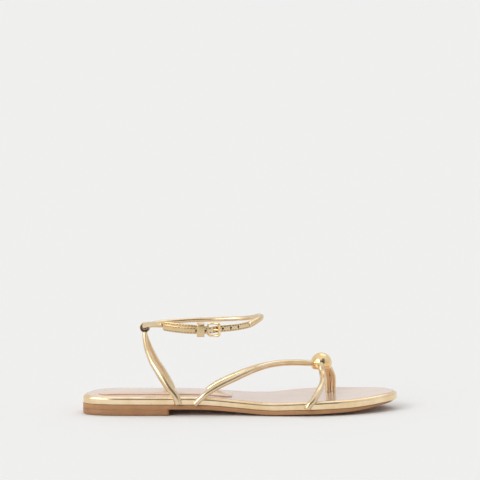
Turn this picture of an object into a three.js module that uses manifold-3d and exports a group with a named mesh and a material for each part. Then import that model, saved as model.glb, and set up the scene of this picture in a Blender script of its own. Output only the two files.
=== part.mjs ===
// Flat strappy toe-post sandal with an ankle strap, right shoe, in millimetres.
// X runs from the heel to the toe, Y to the inner side of the foot, Z up from the ground.
// While the pieces are made, X starts at the back of the heel and Y at the middle of the heel.
import * as THREE from 'three';
import { mergeVertices } from 'three/addons/utils/BufferGeometryUtils.js';
import Module from 'manifold-3d';

const wasm = await Module();
wasm.setup();

// Driving sizes of the sole
const soleLength = 251;
const ballWidth = 83;
const breastHeight = 5;
const heelLiftLength = 68.8;
const outsoleThickness = 3.5;
const outsoleToeSetback = 3.2;
const footbedThickness = 6.3;
const footbedEdgeRadius = 2.4;
const forefootCup = 1.7;
const footbedBorder = 3;
const sockThickness = 0.8;
const sockProud = 0.25;
const heelPadThickness = 1;
const heelPadBorder = 12;
const heelPadFront = 119;
const heelPadCorner = 6;
const heelPadLean = 7;
const joint = 0.3;

// Driving sizes of the straps
const heelStrapWidth = 6.2;
const heelStrapNeck = 3.8;
const vampStrapWidth = 4.8;
const vampStrapEnd = 4;
const toeStrapWidth = 5.3;
const postStrandWidth = 4.2;
const knotWidth = 6.4;
const ankleStrapWidth = 4.6;
const flatStrapHeight = 5.3;
const flatStrapThickness = 1.4;
const doubledStrapThickness = 1.8;
const strapProud = 0.7;
const loopBandThickness = 1;
const loopBandWidth = 3.4;
const loopRadius = 3.8;

// Where the straps stand and how high they reach
const outerHeelFoot = 76.8;
const innerHeelFoot = 72;
const outerVampFoot = 86.6;
const innerVampFoot = 93.4;
const toeStrapFoot = 177.6;
const ankleHeight = 69.5;
const ankleBack = 48.9;
const ankleFront = 142;
const ankleRingWidth = 57;
const loopRise = 0.967;
const loopHeight = ankleHeight * loopRise;
const loopForward = 0.3;

// Hardware
const ballDiameter = 17;
const ballAlong = 190.4;
const ballAcross = 21;
const ballHeight = 35.4;
const ballBase = ballDiameter * 0.26;
const mouthAlong = ballAlong + ballDiameter * 0.118;
const mouthHeight = ballHeight - ballDiameter * 0.08;
const vampEndAlong = mouthAlong - ballDiameter * 0.3;
const vampEndAcross = ballAcross - ballDiameter * 0.022;
const vampEndHeight = ballHeight + ballDiameter * 0.05;
const postAlong = 197.8;
const postAcross = 28;
const frameHeight = 11.6;
const frameWire = 1.9;
const pivotWire = 1.6;
const frameFrontWire = 2.6;
const pivotAlong = 99.8;
const frontBarAlong = 108.4;
const prongWire = 1.2;
const keeperWidth = 6;
const keeperHeight = 11.1;
const keeperThickness = 1.1;
const keeperAlong = 94;
const holeDiameter = 1.7;
const holePitch = 7;

// Plan of the sole: edges as shares of the width at the ball, minus is the outer side
const soleOutline = [
  { along: 0, outer: -0.13, inner: -0.13 },
  { along: 0.012, outer: -0.233, inner: 0.055 },
  { along: 0.04, outer: -0.287, inner: 0.212 },
  { along: 0.09, outer: -0.32, inner: 0.288 },
  { along: 0.18, outer: -0.332, inner: 0.305 },
  { along: 0.3, outer: -0.33, inner: 0.301 },
  { along: 0.42, outer: -0.321, inner: 0.306 },
  { along: 0.5, outer: -0.329, inner: 0.344 },
  { along: 0.58, outer: -0.35, inner: 0.43 },
  { along: 0.65, outer: -0.367, inner: 0.53 },
  { along: 0.72, outer: -0.37, inner: 0.605 },
  { along: 0.79, outer: -0.345, inner: 0.625 },
  { along: 0.86, outer: -0.267, inner: 0.581 },
  { along: 0.915, outer: -0.184, inner: 0.514 },
  { along: 0.955, outer: -0.082, inner: 0.43 },
  { along: 0.985, outer: 0.024, inner: 0.333 },
  { along: 0.996, outer: 0.098, inner: 0.262 },
  { along: 1, outer: 0.18, inner: 0.18 },
];

// Side view of the sole: rise as a share of the breast height, layers as shares of their thickness
const soleProfile = [
  { along: 0, rise: 1, cup: 0, outsole: 1, footbed: 0.98, setback: 0 },
  { along: heelLiftLength / soleLength + 0.03, rise: 1, cup: 0, outsole: 1, footbed: 0.98, setback: 0 },
  { along: 0.36, rise: 0.96, cup: 0, outsole: 1, footbed: 0.97, setback: 0 },
  { along: 0.42, rise: 0.82, cup: 0.2, outsole: 0.97, footbed: 0.95, setback: 0 },
  { along: 0.5, rise: 0.47, cup: 0.6, outsole: 0.96, footbed: 0.93, setback: 0 },
  { along: 0.57, rise: 0.13, cup: 0.9, outsole: 0.96, footbed: 0.93, setback: 0 },
  { along: 0.615, rise: 0, cup: 1, outsole: 0.96, footbed: 0.95, setback: 0 },
  { along: 0.73, rise: 0, cup: 1, outsole: 0.96, footbed: 1, setback: 0 },
  { along: 0.8, rise: 0.15, cup: 1, outsole: 0.88, footbed: 1.03, setback: 0 },
  { along: 0.865, rise: 0.44, cup: 1, outsole: 0.76, footbed: 1.03, setback: 0.05 },
  { along: 0.915, rise: 0.84, cup: 1, outsole: 0.6, footbed: 1, setback: 0.15 },
  { along: 0.945, rise: 1.06, cup: 1, outsole: 0.54, footbed: 0.97, setback: 0.4 },
  { along: 1, rise: 1.28, cup: 1, outsole: 0.44, footbed: 0.9, setback: 1 },
];

// Value of one column between the rows of a table, by a cubic that never overshoots
function between(rows, key, column, at) {
  let i = 0;
  while (i < rows.length - 2 && at > rows[i + 1][key]) i += 1;
  const slope = (j) => {
    if (j < 0 || j > rows.length - 2) return null;
    return (rows[j + 1][column] - rows[j][column]) / (rows[j + 1][key] - rows[j][key]);
  };
  const tangent = (before, after) => {
    if (before === null) return after;
    if (after === null) return before;
    return before * after <= 0 ? 0 : (2 * before * after) / (before + after);
  };
  const start = rows[i];
  const end = rows[i + 1];
  const span = end[key] - start[key];
  const t = Math.min(Math.max((at - start[key]) / span, 0), 1);
  const first = tangent(slope(i - 1), slope(i)) * span;
  const last = tangent(slope(i), slope(i + 1)) * span;
  const a = 2 * t ** 3 - 3 * t ** 2 + 1;
  const b = t ** 3 - 2 * t ** 2 + t;
  const c = -2 * t ** 3 + 3 * t ** 2;
  const d = t ** 3 - t ** 2;
  return a * start[column] + b * first + c * end[column] + d * last;
}

// The outline is read along a half circle, so that heel and toe close in round ends
const outlineByTurn = soleOutline.map((row) => ({
  turn: Math.acos(1 - 2 * row.along) / Math.PI,
  outer: row.outer * ballWidth,
  inner: row.inner * ballWidth,
}));

function soleEdge(x, side) {
  const turn = Math.acos(Math.min(Math.max(1 - (2 * x) / soleLength, -1), 1)) / Math.PI;
  return between(outlineByTurn, 'turn', side, turn);
}

const profile = (column, x) => between(soleProfile, 'along', column, x / soleLength);

// How far the cupped forefoot lifts a point off the middle of the sole
function cupLift(x, y) {
  const middle = (soleEdge(x, 'outer') + soleEdge(x, 'inner')) / 2;
  const off = Math.abs(y - middle) / (ballWidth / 2);
  const flatShare = 0.52;
  const rise = Math.max(0, (off - flatShare) / (1 - flatShare));
  return forefootCup * profile('cup', x) * rise ** 2;
}

const underside = (x, y) => breastHeight * profile('rise', x) + cupLift(x, y);
const outsoleTop = (x, y) => underside(x, y) + outsoleThickness * profile('outsole', x);
const footbedBottom = (x, y) => outsoleTop(x, y) + joint;
const footbedTop = (x, y) => footbedBottom(x, y) + footbedThickness * profile('footbed', x);
const sockTop = (x, y) => footbedTop(x, y) + sockProud;
const heelPadTop = (x, y) => sockTop(x, y) + joint + heelPadThickness;

// Stations along a plan: one row holds the outer and the inner edge point
function soleStations(count) {
  const rows = [];
  for (let i = 0; i <= count; i += 1) {
    const x = (soleLength * (1 - Math.cos((Math.PI * i) / count))) / 2;
    rows.push({ x, outer: soleEdge(x, 'outer'), inner: soleEdge(x, 'inner') });
  }
  return rows;
}

// Plan of the heel pad: the sole's edge less its border, round behind and square in front. Its
// back leans to the outer side, as the heel's does.
function heelPadStations(count) {
  const settled = 0.18 * soleLength;
  const rows = [];
  for (let i = 0; i <= count; i += 1) {
    const share = (1 - Math.cos((Math.PI * i) / count)) / 2;
    const x = THREE.MathUtils.lerp(heelPadBorder, heelPadFront, share);
    const outer = soleEdge(Math.max(x, settled), 'outer') + heelPadBorder;
    const inner = soleEdge(Math.max(x, settled), 'inner') - heelPadBorder;
    const backDepth = Math.max(0, 1 - (x - heelPadBorder) / ((inner - outer) / 2));
    const middle = (outer + inner) / 2 - heelPadLean * backDepth;
    const frontDepth = Math.max(0, 1 - (heelPadFront - x) / heelPadCorner);
    const rounded = (inner - outer) / 2 * Math.sqrt(1 - backDepth ** 2);
    const half = i === count ? 0 : rounded - heelPadCorner * (1 - Math.sqrt(1 - frontDepth ** 2));
    rows.push({ x, outer: middle - half, inner: middle + half });
  }
  return rows;
}

// Unit vectors that point from each edge point into the plan
function inwardVectors(loop) {
  return loop.map((point, i) => {
    const before = loop[(i - 1 + loop.length) % loop.length];
    const after = loop[(i + 1) % loop.length];
    const along = new THREE.Vector2(after.x - before.x, after.y - before.y).normalize();
    return new THREE.Vector2(-along.y, along.x);
  });
}

// Closed plate over a plan. Each level is a loop set in from the edge at its own height, listed
// from the underside to the top, and the first and last levels are closed by strips across.
function plate(stations, levels, across) {
  const last = stations.length - 1;
  const outerLoop = stations.map((s) => new THREE.Vector2(s.x, s.outer));
  const innerLoop = stations.slice(1, last).reverse().map((s) => new THREE.Vector2(s.x, s.inner));
  const loop = [...outerLoop, ...innerLoop];
  const inward = inwardVectors(loop);
  const count = loop.length;
  const position = [];
  const index = [];
  const add = (x, y, z) => position.push(x, y, z) / 3 - 1;

  const rings = levels.map(({ inset, height }) => loop.map((point, i) => {
    const depth = typeof inset === 'function' ? inset(point.x) : inset;
    const x = point.x + inward[i].x * depth;
    const y = point.y + inward[i].y * depth;
    return add(x, y, height(x, y));
  }));
  for (let k = 0; k < rings.length - 1; k += 1) {
    for (let i = 0; i < count; i += 1) {
      const next = (i + 1) % count;
      index.push(rings[k][i], rings[k][next], rings[k + 1][next]);
      index.push(rings[k][i], rings[k + 1][next], rings[k + 1][i]);
    }
  }
  const innerOf = (i) => (i === 0 || i === last ? i : count - i);
  const cap = (ring, height, up) => {
    const rows = stations.map((_, i) => {
      const a = ring[i];
      const b = ring[innerOf(i)];
      if (a === b) return [a];
      const row = [a];
      for (let j = 1; j < across; j += 1) {
        const x = THREE.MathUtils.lerp(position[a * 3], position[b * 3], j / across);
        const y = THREE.MathUtils.lerp(position[a * 3 + 1], position[b * 3 + 1], j / across);
        row.push(add(x, y, height(x, y)));
      }
      row.push(b);
      return row;
    });
    const triangle = (a, b, c) => (up ? index.push(a, b, c) : index.push(a, c, b));
    for (let i = 0; i < last; i += 1) {
      const here = rows[i];
      const next = rows[i + 1];
      for (let j = 0; j < across; j += 1) {
        if (here.length === 1) triangle(here[0], next[j], next[j + 1]);
        else if (next.length === 1) triangle(here[j], next[0], here[j + 1]);
        else {
          triangle(here[j], next[j], next[j + 1]);
          triangle(here[j], next[j + 1], here[j + 1]);
        }
      }
    }
  };
  cap(rings[0], levels[0].height, false);
  cap(rings[rings.length - 1], levels[levels.length - 1].height, true);
  return surface(position, index);
}

function surface(position, index) {
  const geometry = new THREE.BufferGeometry();
  geometry.setAttribute('position', new THREE.Float32BufferAttribute(position, 3));
  geometry.setIndex(index);
  return geometry;
}

// Closed body through a row of rings with as many points each
function loft(rings) {
  const sides = rings[0].length;
  const position = [];
  const index = [];
  rings.forEach((ring) => ring.forEach((point) => position.push(point.x, point.y, point.z)));
  for (let k = 0; k < rings.length - 1; k += 1) {
    for (let i = 0; i < sides; i += 1) {
      const next = (i + 1) % sides;
      const here = k * sides;
      const there = here + sides;
      index.push(here + i, here + next, there + next, here + i, there + next, there + i);
    }
  }
  const close = (start, flip) => {
    for (let i = 1; i < sides - 1; i += 1) {
      if (flip) index.push(start, start + i + 1, start + i);
      else index.push(start, start + i, start + i + 1);
    }
  };
  close(0, true);
  close((rings.length - 1) * sides, false);
  return surface(position, index);
}

// The same points with both ends moved outwards along the way
function longer(points, by) {
  const last = points.length - 1;
  const push = (end, next) => end.clone().add(end.clone().sub(next).setLength(by));
  if (by === 0) return points;
  return [push(points[0], points[1]), ...points.slice(1, last), push(points[last], points[last - 1])];
}

// Round strap along a smooth curve through points, with its width given along the way
function rolledStrap(points, widthAt, steps, sides) {
  const curve = new THREE.CatmullRomCurve3(points, false, 'centripetal');
  const frames = curve.computeFrenetFrames(steps, false);
  const rings = [];
  for (let k = 0; k <= steps; k += 1) {
    const share = k / steps;
    const centre = curve.getPointAt(share);
    const radius = widthAt(share) / 2;
    const ring = [];
    for (let i = 0; i < sides; i += 1) {
      const angle = (2 * Math.PI * i) / sides;
      ring.push(centre.clone()
        .addScaledVector(frames.normals[k], radius * Math.cos(angle))
        .addScaledVector(frames.binormals[k], radius * Math.sin(angle)));
    }
    rings.push(ring);
  }
  return loft(rings);
}

// Strap along the ankle ring: at each turn it has a place, and a section of off and up lengths
function ringStrap(turns, placeAt, sectionAt) {
  const small = 0.5;
  const upright = new THREE.Vector3(0, 0, 1);
  const rings = turns.map((turn) => {
    const centre = placeAt(turn);
    const along = placeAt(turn + small).sub(placeAt(turn - small)).normalize();
    const off = new THREE.Vector3().crossVectors(along, upright).normalize();
    const up = new THREE.Vector3().crossVectors(off, along).normalize();
    return sectionAt(turn).map(([a, b]) => centre.clone().addScaledVector(off, a).addScaledVector(up, b));
  });
  return loft(rings.reverse());
}

// Rectangle with cut corners, as off and up lengths around a strap's middle
function flatSection(thickness, height) {
  const a = thickness / 2;
  const b = height / 2;
  const c = 0.45 * a;
  const right = [[a, -b + c], [a, b - c], [a - c, b]];
  const left = [[-a + c, b], [-a, b - c], [-a, -b + c]];
  return [...right, ...left, [-a + c, -b], [a - c, -b]];
}

function roundSection(width, sides) {
  return Array.from({ length: sides }, (_, i) => {
    const angle = (2 * Math.PI * i) / sides;
    return [(width / 2) * Math.cos(angle), (width / 2) * Math.sin(angle)];
  });
}

// Solids that can be joined and cut
function solidOf(geometry) {
  const bare = geometry.clone();
  bare.deleteAttribute('normal');
  bare.deleteAttribute('uv');
  const merged = mergeVertices(bare, 1e-4);
  const mesh = new wasm.Mesh({
    numProp: 3,
    vertProperties: new Float32Array(merged.attributes.position.array),
    triVerts: new Uint32Array(merged.index.array),
  });
  return new wasm.Manifold(mesh);
}

function geometryOf(solid) {
  const mesh = solid.getMesh();
  return surface(Array.from(mesh.vertProperties), Array.from(mesh.triVerts));
}

const join = (...solids) => solids.reduce((sum, solid) => sum.add(solid));
const cut = (solid, ...tools) => tools.reduce((rest, tool) => rest.subtract(tool), solid);
const vector = (x, y, z) => new THREE.Vector3(x, y, z);

function rod(from, to, width, sides) {
  return solidOf(rolledStrap([from, to], () => width, 2, sides));
}

function bead(at, width) {
  const knob = new THREE.SphereGeometry(width / 2, 8, 6);
  knob.translate(at.x, at.y, at.z);
  return solidOf(knob);
}

// Points from a foot to a top, each row giving the share of the way in each direction
function climb(foot, top, rows) {
  return rows.map(({ along, across, up }) => vector(
    THREE.MathUtils.lerp(foot.x, top.x, along),
    THREE.MathUtils.lerp(foot.y, top.y, across),
    THREE.MathUtils.lerp(foot.z, top.z, up),
  ));
}

// Place of a strap's foot at the rim, started a little below the sole's joint and trimmed there
function rimFoot(x, side) {
  const edge = soleEdge(x, side);
  const y = edge + Math.sign(edge) * strapProud;
  return vector(x, y, outsoleTop(x, edge));
}

// Outsole, heel lift, footbed, sock and heel pad
const soleCount = 30;
const acrossCount = 4;
const outsoleInset = (x) => outsoleToeSetback * profile('setback', x);

// Its lower edge is square over the heel lift and bevelled in front of it
function outsoleSolid() {
  const square = 0.05;
  const bevelled = 0.5;
  const run = 4;
  const bevel = (x) => {
    const share = THREE.MathUtils.smoothstep(x, heelLiftLength, heelLiftLength + run);
    return THREE.MathUtils.lerp(square, bevelled, share);
  };
  return solidOf(plate(soleStations(soleCount), [
    { inset: (x) => outsoleInset(x) + bevel(x), height: underside },
    { inset: outsoleInset, height: (x, y) => underside(x, y) + bevel(x) },
    { inset: outsoleInset, height: outsoleTop },
  ], acrossCount));
}

function heelLiftSolid() {
  const bevel = 0.8;
  const block = plate(soleStations(soleCount), [
    { inset: bevel, height: () => 0 },
    { inset: 0, height: () => bevel },
    { inset: 0, height: () => breastHeight },
  ], acrossCount);
  const behind = breastHeight;
  const keep = new THREE.BoxGeometry(heelLiftLength + behind, ballWidth * 2, breastHeight * 4);
  keep.translate((heelLiftLength - behind) / 2, 0, 0);
  return solidOf(block).intersect(solidOf(keep));
}

function footbedSolid() {
  const r = footbedEdgeRadius;
  const arc = [0, 30, 60, 90].map((degrees) => {
    const angle = THREE.MathUtils.degToRad(degrees);
    const drop = r * (1 - Math.sin(angle));
    return { inset: r * (1 - Math.cos(angle)), height: (x, y) => footbedTop(x, y) - drop };
  });
  const recess = sockThickness + joint - sockProud;
  return solidOf(plate(soleStations(soleCount), [
    { inset: 0, height: footbedBottom },
    ...arc,
    { inset: footbedBorder, height: footbedTop },
    { inset: footbedBorder, height: (x, y) => footbedTop(x, y) - recess },
  ], acrossCount));
}

function sockSolid() {
  const edge = footbedBorder + joint;
  return solidOf(plate(soleStations(soleCount), [
    { inset: edge, height: (x, y) => sockTop(x, y) - sockThickness },
    { inset: edge, height: (x, y) => sockTop(x, y) - sockThickness * 0.3 },
    { inset: edge + sockThickness * 0.3, height: sockTop },
  ], acrossCount));
}

function heelPadSolid() {
  const round = heelPadThickness * 0.6;
  return solidOf(plate(heelPadStations(18), [
    { inset: 0, height: (x, y) => sockTop(x, y) + joint },
    { inset: 0, height: (x, y) => heelPadTop(x, y) - round },
    { inset: round, height: heelPadTop },
  ], acrossCount));
}

// Everything below the joint on top of the outsole, a little wider than the sole
function belowJoint() {
  const reach = footbedThickness;
  return solidOf(plate(soleStations(soleCount), [
    { inset: -reach, height: () => -reach },
    { inset: -reach, height: (x, y) => outsoleTop(x, y) + joint },
  ], acrossCount));
}

// Two straps rise from the rim to the neck under the loop at the centre back
const outerHeelWay = [
  { along: 0, across: 0, up: -0.04 },
  { along: 0.09, across: 0.0, up: 0.12 },
  { along: 0.31, across: 0.05, up: 0.26 },
  { along: 0.47, across: 0.14, up: 0.38 },
  { along: 0.62, across: 0.28, up: 0.49 },
  { along: 0.77, across: 0.43, up: 0.6 },
  { along: 0.88, across: 0.6, up: 0.71 },
  { along: 0.96, across: 0.77, up: 0.82 },
  { along: 1, across: 0.92, up: 0.93 },
  { along: 1, across: 1, up: 1 },
];
const innerHeelWay = [
  { along: 0, across: 0, up: -0.04 },
  { along: 0.09, across: 0.0, up: 0.12 },
  { along: 0.26, across: 0.05, up: 0.26 },
  { along: 0.42, across: 0.14, up: 0.38 },
  { along: 0.58, across: 0.28, up: 0.49 },
  { along: 0.7, across: 0.43, up: 0.6 },
  { along: 0.8, across: 0.6, up: 0.71 },
  { along: 0.89, across: 0.77, up: 0.82 },
  { along: 0.97, across: 0.92, up: 0.93 },
  { along: 1, across: 1, up: 1 },
];

function heelStrap(side, extra) {
  const foot = rimFoot(side === 'outer' ? outerHeelFoot : innerHeelFoot, side);
  const way = side === 'outer' ? outerHeelWay : innerHeelWay;
  const neckAcross = Math.sign(foot.y) * heelStrapNeck * 0.3;
  const neck = vector(ankleBack + loopForward, neckAcross, loopHeight - loopRadius);
  const width = (share) => extra + THREE.MathUtils.lerp(
    heelStrapWidth,
    heelStrapNeck,
    THREE.MathUtils.smoothstep(share, 0.35, 1),
  );
  return solidOf(rolledStrap(longer(climb(foot, neck, way), extra / 2), width, 20, 8));
}

function heelLoop() {
  const ring = new THREE.TorusGeometry(loopRadius, loopBandThickness / 2, 7, 18);
  ring.scale(1, 1, loopBandWidth / loopBandThickness);
  ring.rotateX(Math.PI / 2);
  ring.translate(ankleBack + loopForward, 0, loopHeight);
  return solidOf(ring);
}

// Two straps run from the rim over the foot and meet in the back of the ball
const outerVampWay = [
  { along: 0, across: 0, up: -0.06 },
  { along: 0.11, across: 0.02, up: 0.33 },
  { along: 0.2, across: 0.09, up: 0.53 },
  { along: 0.32, across: 0.2, up: 0.73 },
  { along: 0.47, across: 0.37, up: 0.95 },
  { along: 0.58, across: 0.53, up: 1.05 },
  { along: 0.69, across: 0.67, up: 1.08 },
  { along: 0.8, across: 0.79, up: 1.06 },
  { along: 0.89, across: 0.91, up: 1.01 },
  { along: 0.95, across: 0.99, up: 1 },
  { along: 1, across: 1, up: 1 },
];
const innerVampWay = [
  { along: 0, across: 0, up: -0.06 },
  { along: 0.07, across: 0.02, up: 0.2 },
  { along: 0.16, across: 0.1, up: 0.41 },
  { along: 0.3, across: 0.3, up: 0.64 },
  { along: 0.42, across: 0.45, up: 0.8 },
  { along: 0.53, across: 0.5, up: 0.91 },
  { along: 0.64, across: 0.52, up: 0.97 },
  { along: 0.76, across: 0.56, up: 0.99 },
  { along: 0.87, across: 0.78, up: 0.99 },
  { along: 0.94, across: 0.98, up: 1 },
  { along: 1, across: 1, up: 1 },
];

function vampStrap(side, footAlong, way, extra) {
  const foot = rimFoot(footAlong, side);
  const spread = vampStrapEnd * 0.37;
  const across = vampEndAcross + Math.sign(foot.y) * spread;
  const end = vector(mouthAlong, across, vampEndHeight - vampStrapEnd / 10);
  const width = (share) => extra + THREE.MathUtils.lerp(
    vampStrapWidth,
    vampStrapEnd,
    THREE.MathUtils.smoothstep(share, 0.8, 0.93),
  );
  return solidOf(rolledStrap(longer(climb(foot, end, way), extra / 2), width, 22, 8));
}

function vampPair(extra) {
  const outer = vampStrap('outer', outerVampFoot, outerVampWay, extra);
  const inner = vampStrap('inner', innerVampFoot, innerVampWay, extra);
  return join(outer, inner);
}

// The outer toe strap leaves the front of the ball and falls to the rim beside the small toes
const toeStrapWay = [
  { along: 0, across: 0, up: -0.063 },
  { along: 0.17, across: 0, up: 0.11 },
  { along: 0.47, across: 0.031, up: 0.236 },
  { along: 0.667, across: 0.106, up: 0.346 },
  { along: 0.86, across: 0.212, up: 0.453 },
  { along: 1.02, across: 0.372, up: 0.535 },
  { along: 1.13, across: 0.553, up: 0.616 },
  { along: 1.14, across: 0.746, up: 0.689 },
  { along: 1.09, across: 0.857, up: 0.777 },
  { along: 1.045, across: 0.9, up: 0.877 },
  { along: 1.01, across: 0.948, up: 0.959 },
  { along: 1.03, across: 1.01, up: 1.01 },
  { along: 1.06, across: 1.075, up: 1.02 },
];

function toeStrap(extra) {
  const foot = rimFoot(toeStrapFoot, 'outer');
  const middle = vector(ballAlong, ballAcross, ballHeight);
  const top = middle.add(vector(-0.03, -0.252, 0.07).multiplyScalar(ballDiameter));
  const points = longer(climb(foot, top, toeStrapWay), extra / 2);
  return solidOf(rolledStrap(points, () => toeStrapWidth + extra, 22, 8));
}

// The post's two strands bow forward from the ball and pinch where they enter the footbed
const postMouth = 1.6;
const postBow = 0.8;
const postSpread = 0.48;
const postWay = [
  { back: -0.06, front: -0.02, across: 1, spread: 1, up: -0.06 },
  { back: -0.05, front: 0.0, across: 1, spread: 1, up: 0.18 },
  { back: 0, front: 0.12, across: 1, spread: 1, up: 0.3 },
  { back: 0, front: 0.14, across: 0.94, spread: 1, up: 0.5 },
  { back: 0.06, front: 0.18, across: 0.7, spread: 1, up: 0.68 },
  { back: 0.28, front: 0.5, across: 0.36, spread: 0.88, up: 0.84 },
  { back: 0.56, front: 0.86, across: 0.05, spread: 0.4, up: 1 },
];

function postStrand(column, extra) {
  const foot = outsoleTop(postAlong, postAcross) + joint;
  const top = mouthHeight;
  const reach = mouthAlong + postMouth - postAlong;
  const side = column === 'back' ? -1 : 1;
  const bow = column === 'back' ? 0 : postBow;
  const points = postWay.map((row) => {
    const spread = side * postStrandWidth * postSpread * row.spread;
    return vector(
      postAlong + spread + row[column] * reach + bow * Math.sin(Math.PI * row.up),
      THREE.MathUtils.lerp(ballAcross + postMouth / 2, postAcross, row.across),
      THREE.MathUtils.lerp(foot, top, row.up),
    );
  });
  return solidOf(rolledStrap(longer(points, extra / 2), () => postStrandWidth + extra, 12, 8));
}

// Where the toe strap and the post cross inside the ball's mouth they are gathered in a knot
function toeGroup(extra) {
  const knotAt = vector(mouthAlong + knotWidth / 10, ballAcross, mouthHeight);
  const knot = bead(knotAt, knotWidth + extra);
  return join(toeStrap(extra), postStrand('back', extra), postStrand('front', extra), knot);
}

// The ball has a flat underside and is bored for the straps that end in it
function ballShape(extra) {
  const r = ballDiameter / 2 + extra;
  const base = ballBase + extra;
  const widest = Math.acos(-base / r);
  const rows = 14;
  const outline = [new THREE.Vector2(0, -base)];
  for (let row = 0; row < rows; row += 1) {
    const turn = widest * (1 - row / rows);
    outline.push(new THREE.Vector2(r * Math.sin(turn), r * Math.cos(turn)));
  }
  outline.push(new THREE.Vector2(0, r));
  const ball = new THREE.LatheGeometry(outline, 24);
  ball.rotateX(Math.PI / 2);
  ball.translate(ballAlong, ballAcross, ballHeight);
  return solidOf(ball);
}

function pastVampEnd(extra) {
  const block = new THREE.BoxGeometry(ballDiameter * 2, ballDiameter * 2, ballDiameter * 2);
  block.translate(vampEndAlong + extra + ballDiameter, ballAcross, ballHeight);
  return solidOf(block);
}

// Ankle ring: turns in degrees from the centre back, plus on the outer side and minus on the inner
const rolledPart = [
  { turn: -217, rise: 1.035, width: 1.12 },
  { turn: -200, rise: 1.072, width: 1.08 },
  { turn: -180, rise: 1.09, width: 1 },
  { turn: -165, rise: 1.083, width: 0.92 },
  { turn: -150, rise: 1.056, width: 0.84 },
  { turn: -129, rise: 1.026, width: 0.8 },
  { turn: -108, rise: 1.008, width: 0.8 },
  { turn: -90, rise: 1, width: 0.8 },
  { turn: -65, rise: 0.99, width: 0.84 },
  { turn: -45, rise: 0.98, width: 0.95 },
  { turn: -25, rise: 0.972, width: 1 },
  { turn: -12, rise: 0.967, width: 0.98 },
  { turn: 0, rise: loopRise + 0.006, width: 0.94 },
  { turn: 12, rise: 1.002, width: 0.98 },
  { turn: 25, rise: 1.024, width: 1 },
  { turn: 47, rise: 1.041, width: 1 },
];
const buckleSide = [
  { turn: 47, rise: 1.041 },
  { turn: 61, rise: 1.034 },
  { turn: 77, rise: 1.02 },
  { turn: 96, rise: 0.998 },
];
const holedSide = [
  { turn: 48, rise: 1.016 },
  { turn: 61, rise: 1.003 },
  { turn: 77, rise: 0.991 },
  { turn: 88, rise: 0.989 },
  { turn: 96, rise: 0.996 },
  { turn: 109, rise: 1.006 },
  { turn: 125, rise: 1.016 },
  { turn: 143, rise: 1.035 },
];
const rolledStart = -217;
const rolledEnd = 47;
const holedFront = 142.3;
const holedTip = 49;

const ringMiddle = (ankleBack + ankleFront) / 2;
const ringReach = (ankleFront - ankleBack) / 2;
const turnAt = (x) => THREE.MathUtils.radToDeg(Math.acos((ringMiddle - x) / ringReach));
const riseAt = (rows, turn) => ankleHeight * between(rows, 'turn', 'rise', turn);

function ringOutward(turn) {
  const angle = THREE.MathUtils.degToRad(turn);
  const half = ankleRingWidth / 2;
  return vector(-Math.cos(angle) / ringReach, -Math.sin(angle) / half, 0).normalize();
}

function ringPlace(turn, height, off) {
  const angle = THREE.MathUtils.degToRad(turn);
  const half = ankleRingWidth / 2;
  return vector(ringMiddle - ringReach * Math.cos(angle), -half * Math.sin(angle), height)
    .addScaledVector(ringOutward(turn), off);
}

function steps(from, to, count) {
  return Array.from({ length: count + 1 }, (_, i) => THREE.MathUtils.lerp(from, to, i / count));
}

// The strap's distance outside the ring: over the pivot eye, under the front bar, on the buckle strap
const eyeRadius = pivotWire / 2 + joint + prongWire;
const overEye = eyeRadius + joint + flatStrapThickness / 2;
const onStrap = doubledStrapThickness / 2 + joint + flatStrapThickness / 2;
const frontBarOff = 2.1;
const rampLength = 7;
const holedOff = [
  { along: 0, off: onStrap },
  { along: pivotAlong - eyeRadius - rampLength, off: onStrap },
  { along: pivotAlong - eyeRadius, off: overEye },
  { along: pivotAlong + eyeRadius / 2, off: overEye },
  { along: frontBarAlong - frameFrontWire / 2, off: 0 },
  { along: frontBarAlong, off: frontBarOff - frameFrontWire / 2 - joint - flatStrapThickness / 2 },
  { along: frontBarAlong + frameFrontWire * 2, off: 0 },
  { along: soleLength, off: 0 },
];

function holedPlace(turn) {
  const x = ringMiddle - ringReach * Math.cos(THREE.MathUtils.degToRad(turn));
  return ringPlace(turn, riseAt(holedSide, turn), between(holedOff, 'along', 'off', x));
}

function ankleStrapSolid() {
  const turns = steps(rolledStart, rolledEnd, 46);
  const place = (turn) => ringPlace(turn, riseAt(rolledPart, turn), 0);
  const section = (turn) => roundSection(ankleStrapWidth * between(rolledPart, 'turn', 'width', turn), 8);
  return solidOf(ringStrap(turns, place, section));
}

const pivotTurn = turnAt(pivotAlong);
const frontTurn = turnAt(frontBarAlong);
const buckleHeight = riseAt(holedSide, (pivotTurn + frontTurn) / 2);

function buckleFrameSolid() {
  const half = (frameHeight - frameWire) / 2;
  const corner = (turn, off, up) => ringPlace(turn, buckleHeight + up * half, off);
  const pivotLow = corner(pivotTurn, 0, -1);
  const pivotHigh = corner(pivotTurn, 0, 1);
  const frontLow = corner(frontTurn, frontBarOff, -1);
  const frontHigh = corner(frontTurn, frontBarOff, 1);
  return join(
    rod(pivotLow, pivotHigh, pivotWire, 8),
    rod(pivotLow, frontLow, frameWire, 8),
    rod(pivotHigh, frontHigh, frameWire, 8),
    rod(frontLow, frontHigh, frameFrontWire, 10),
    bead(pivotLow, frameWire),
    bead(pivotHigh, frameWire),
    bead(frontLow, frameFrontWire),
    bead(frontHigh, frameFrontWire),
  );
}

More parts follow.
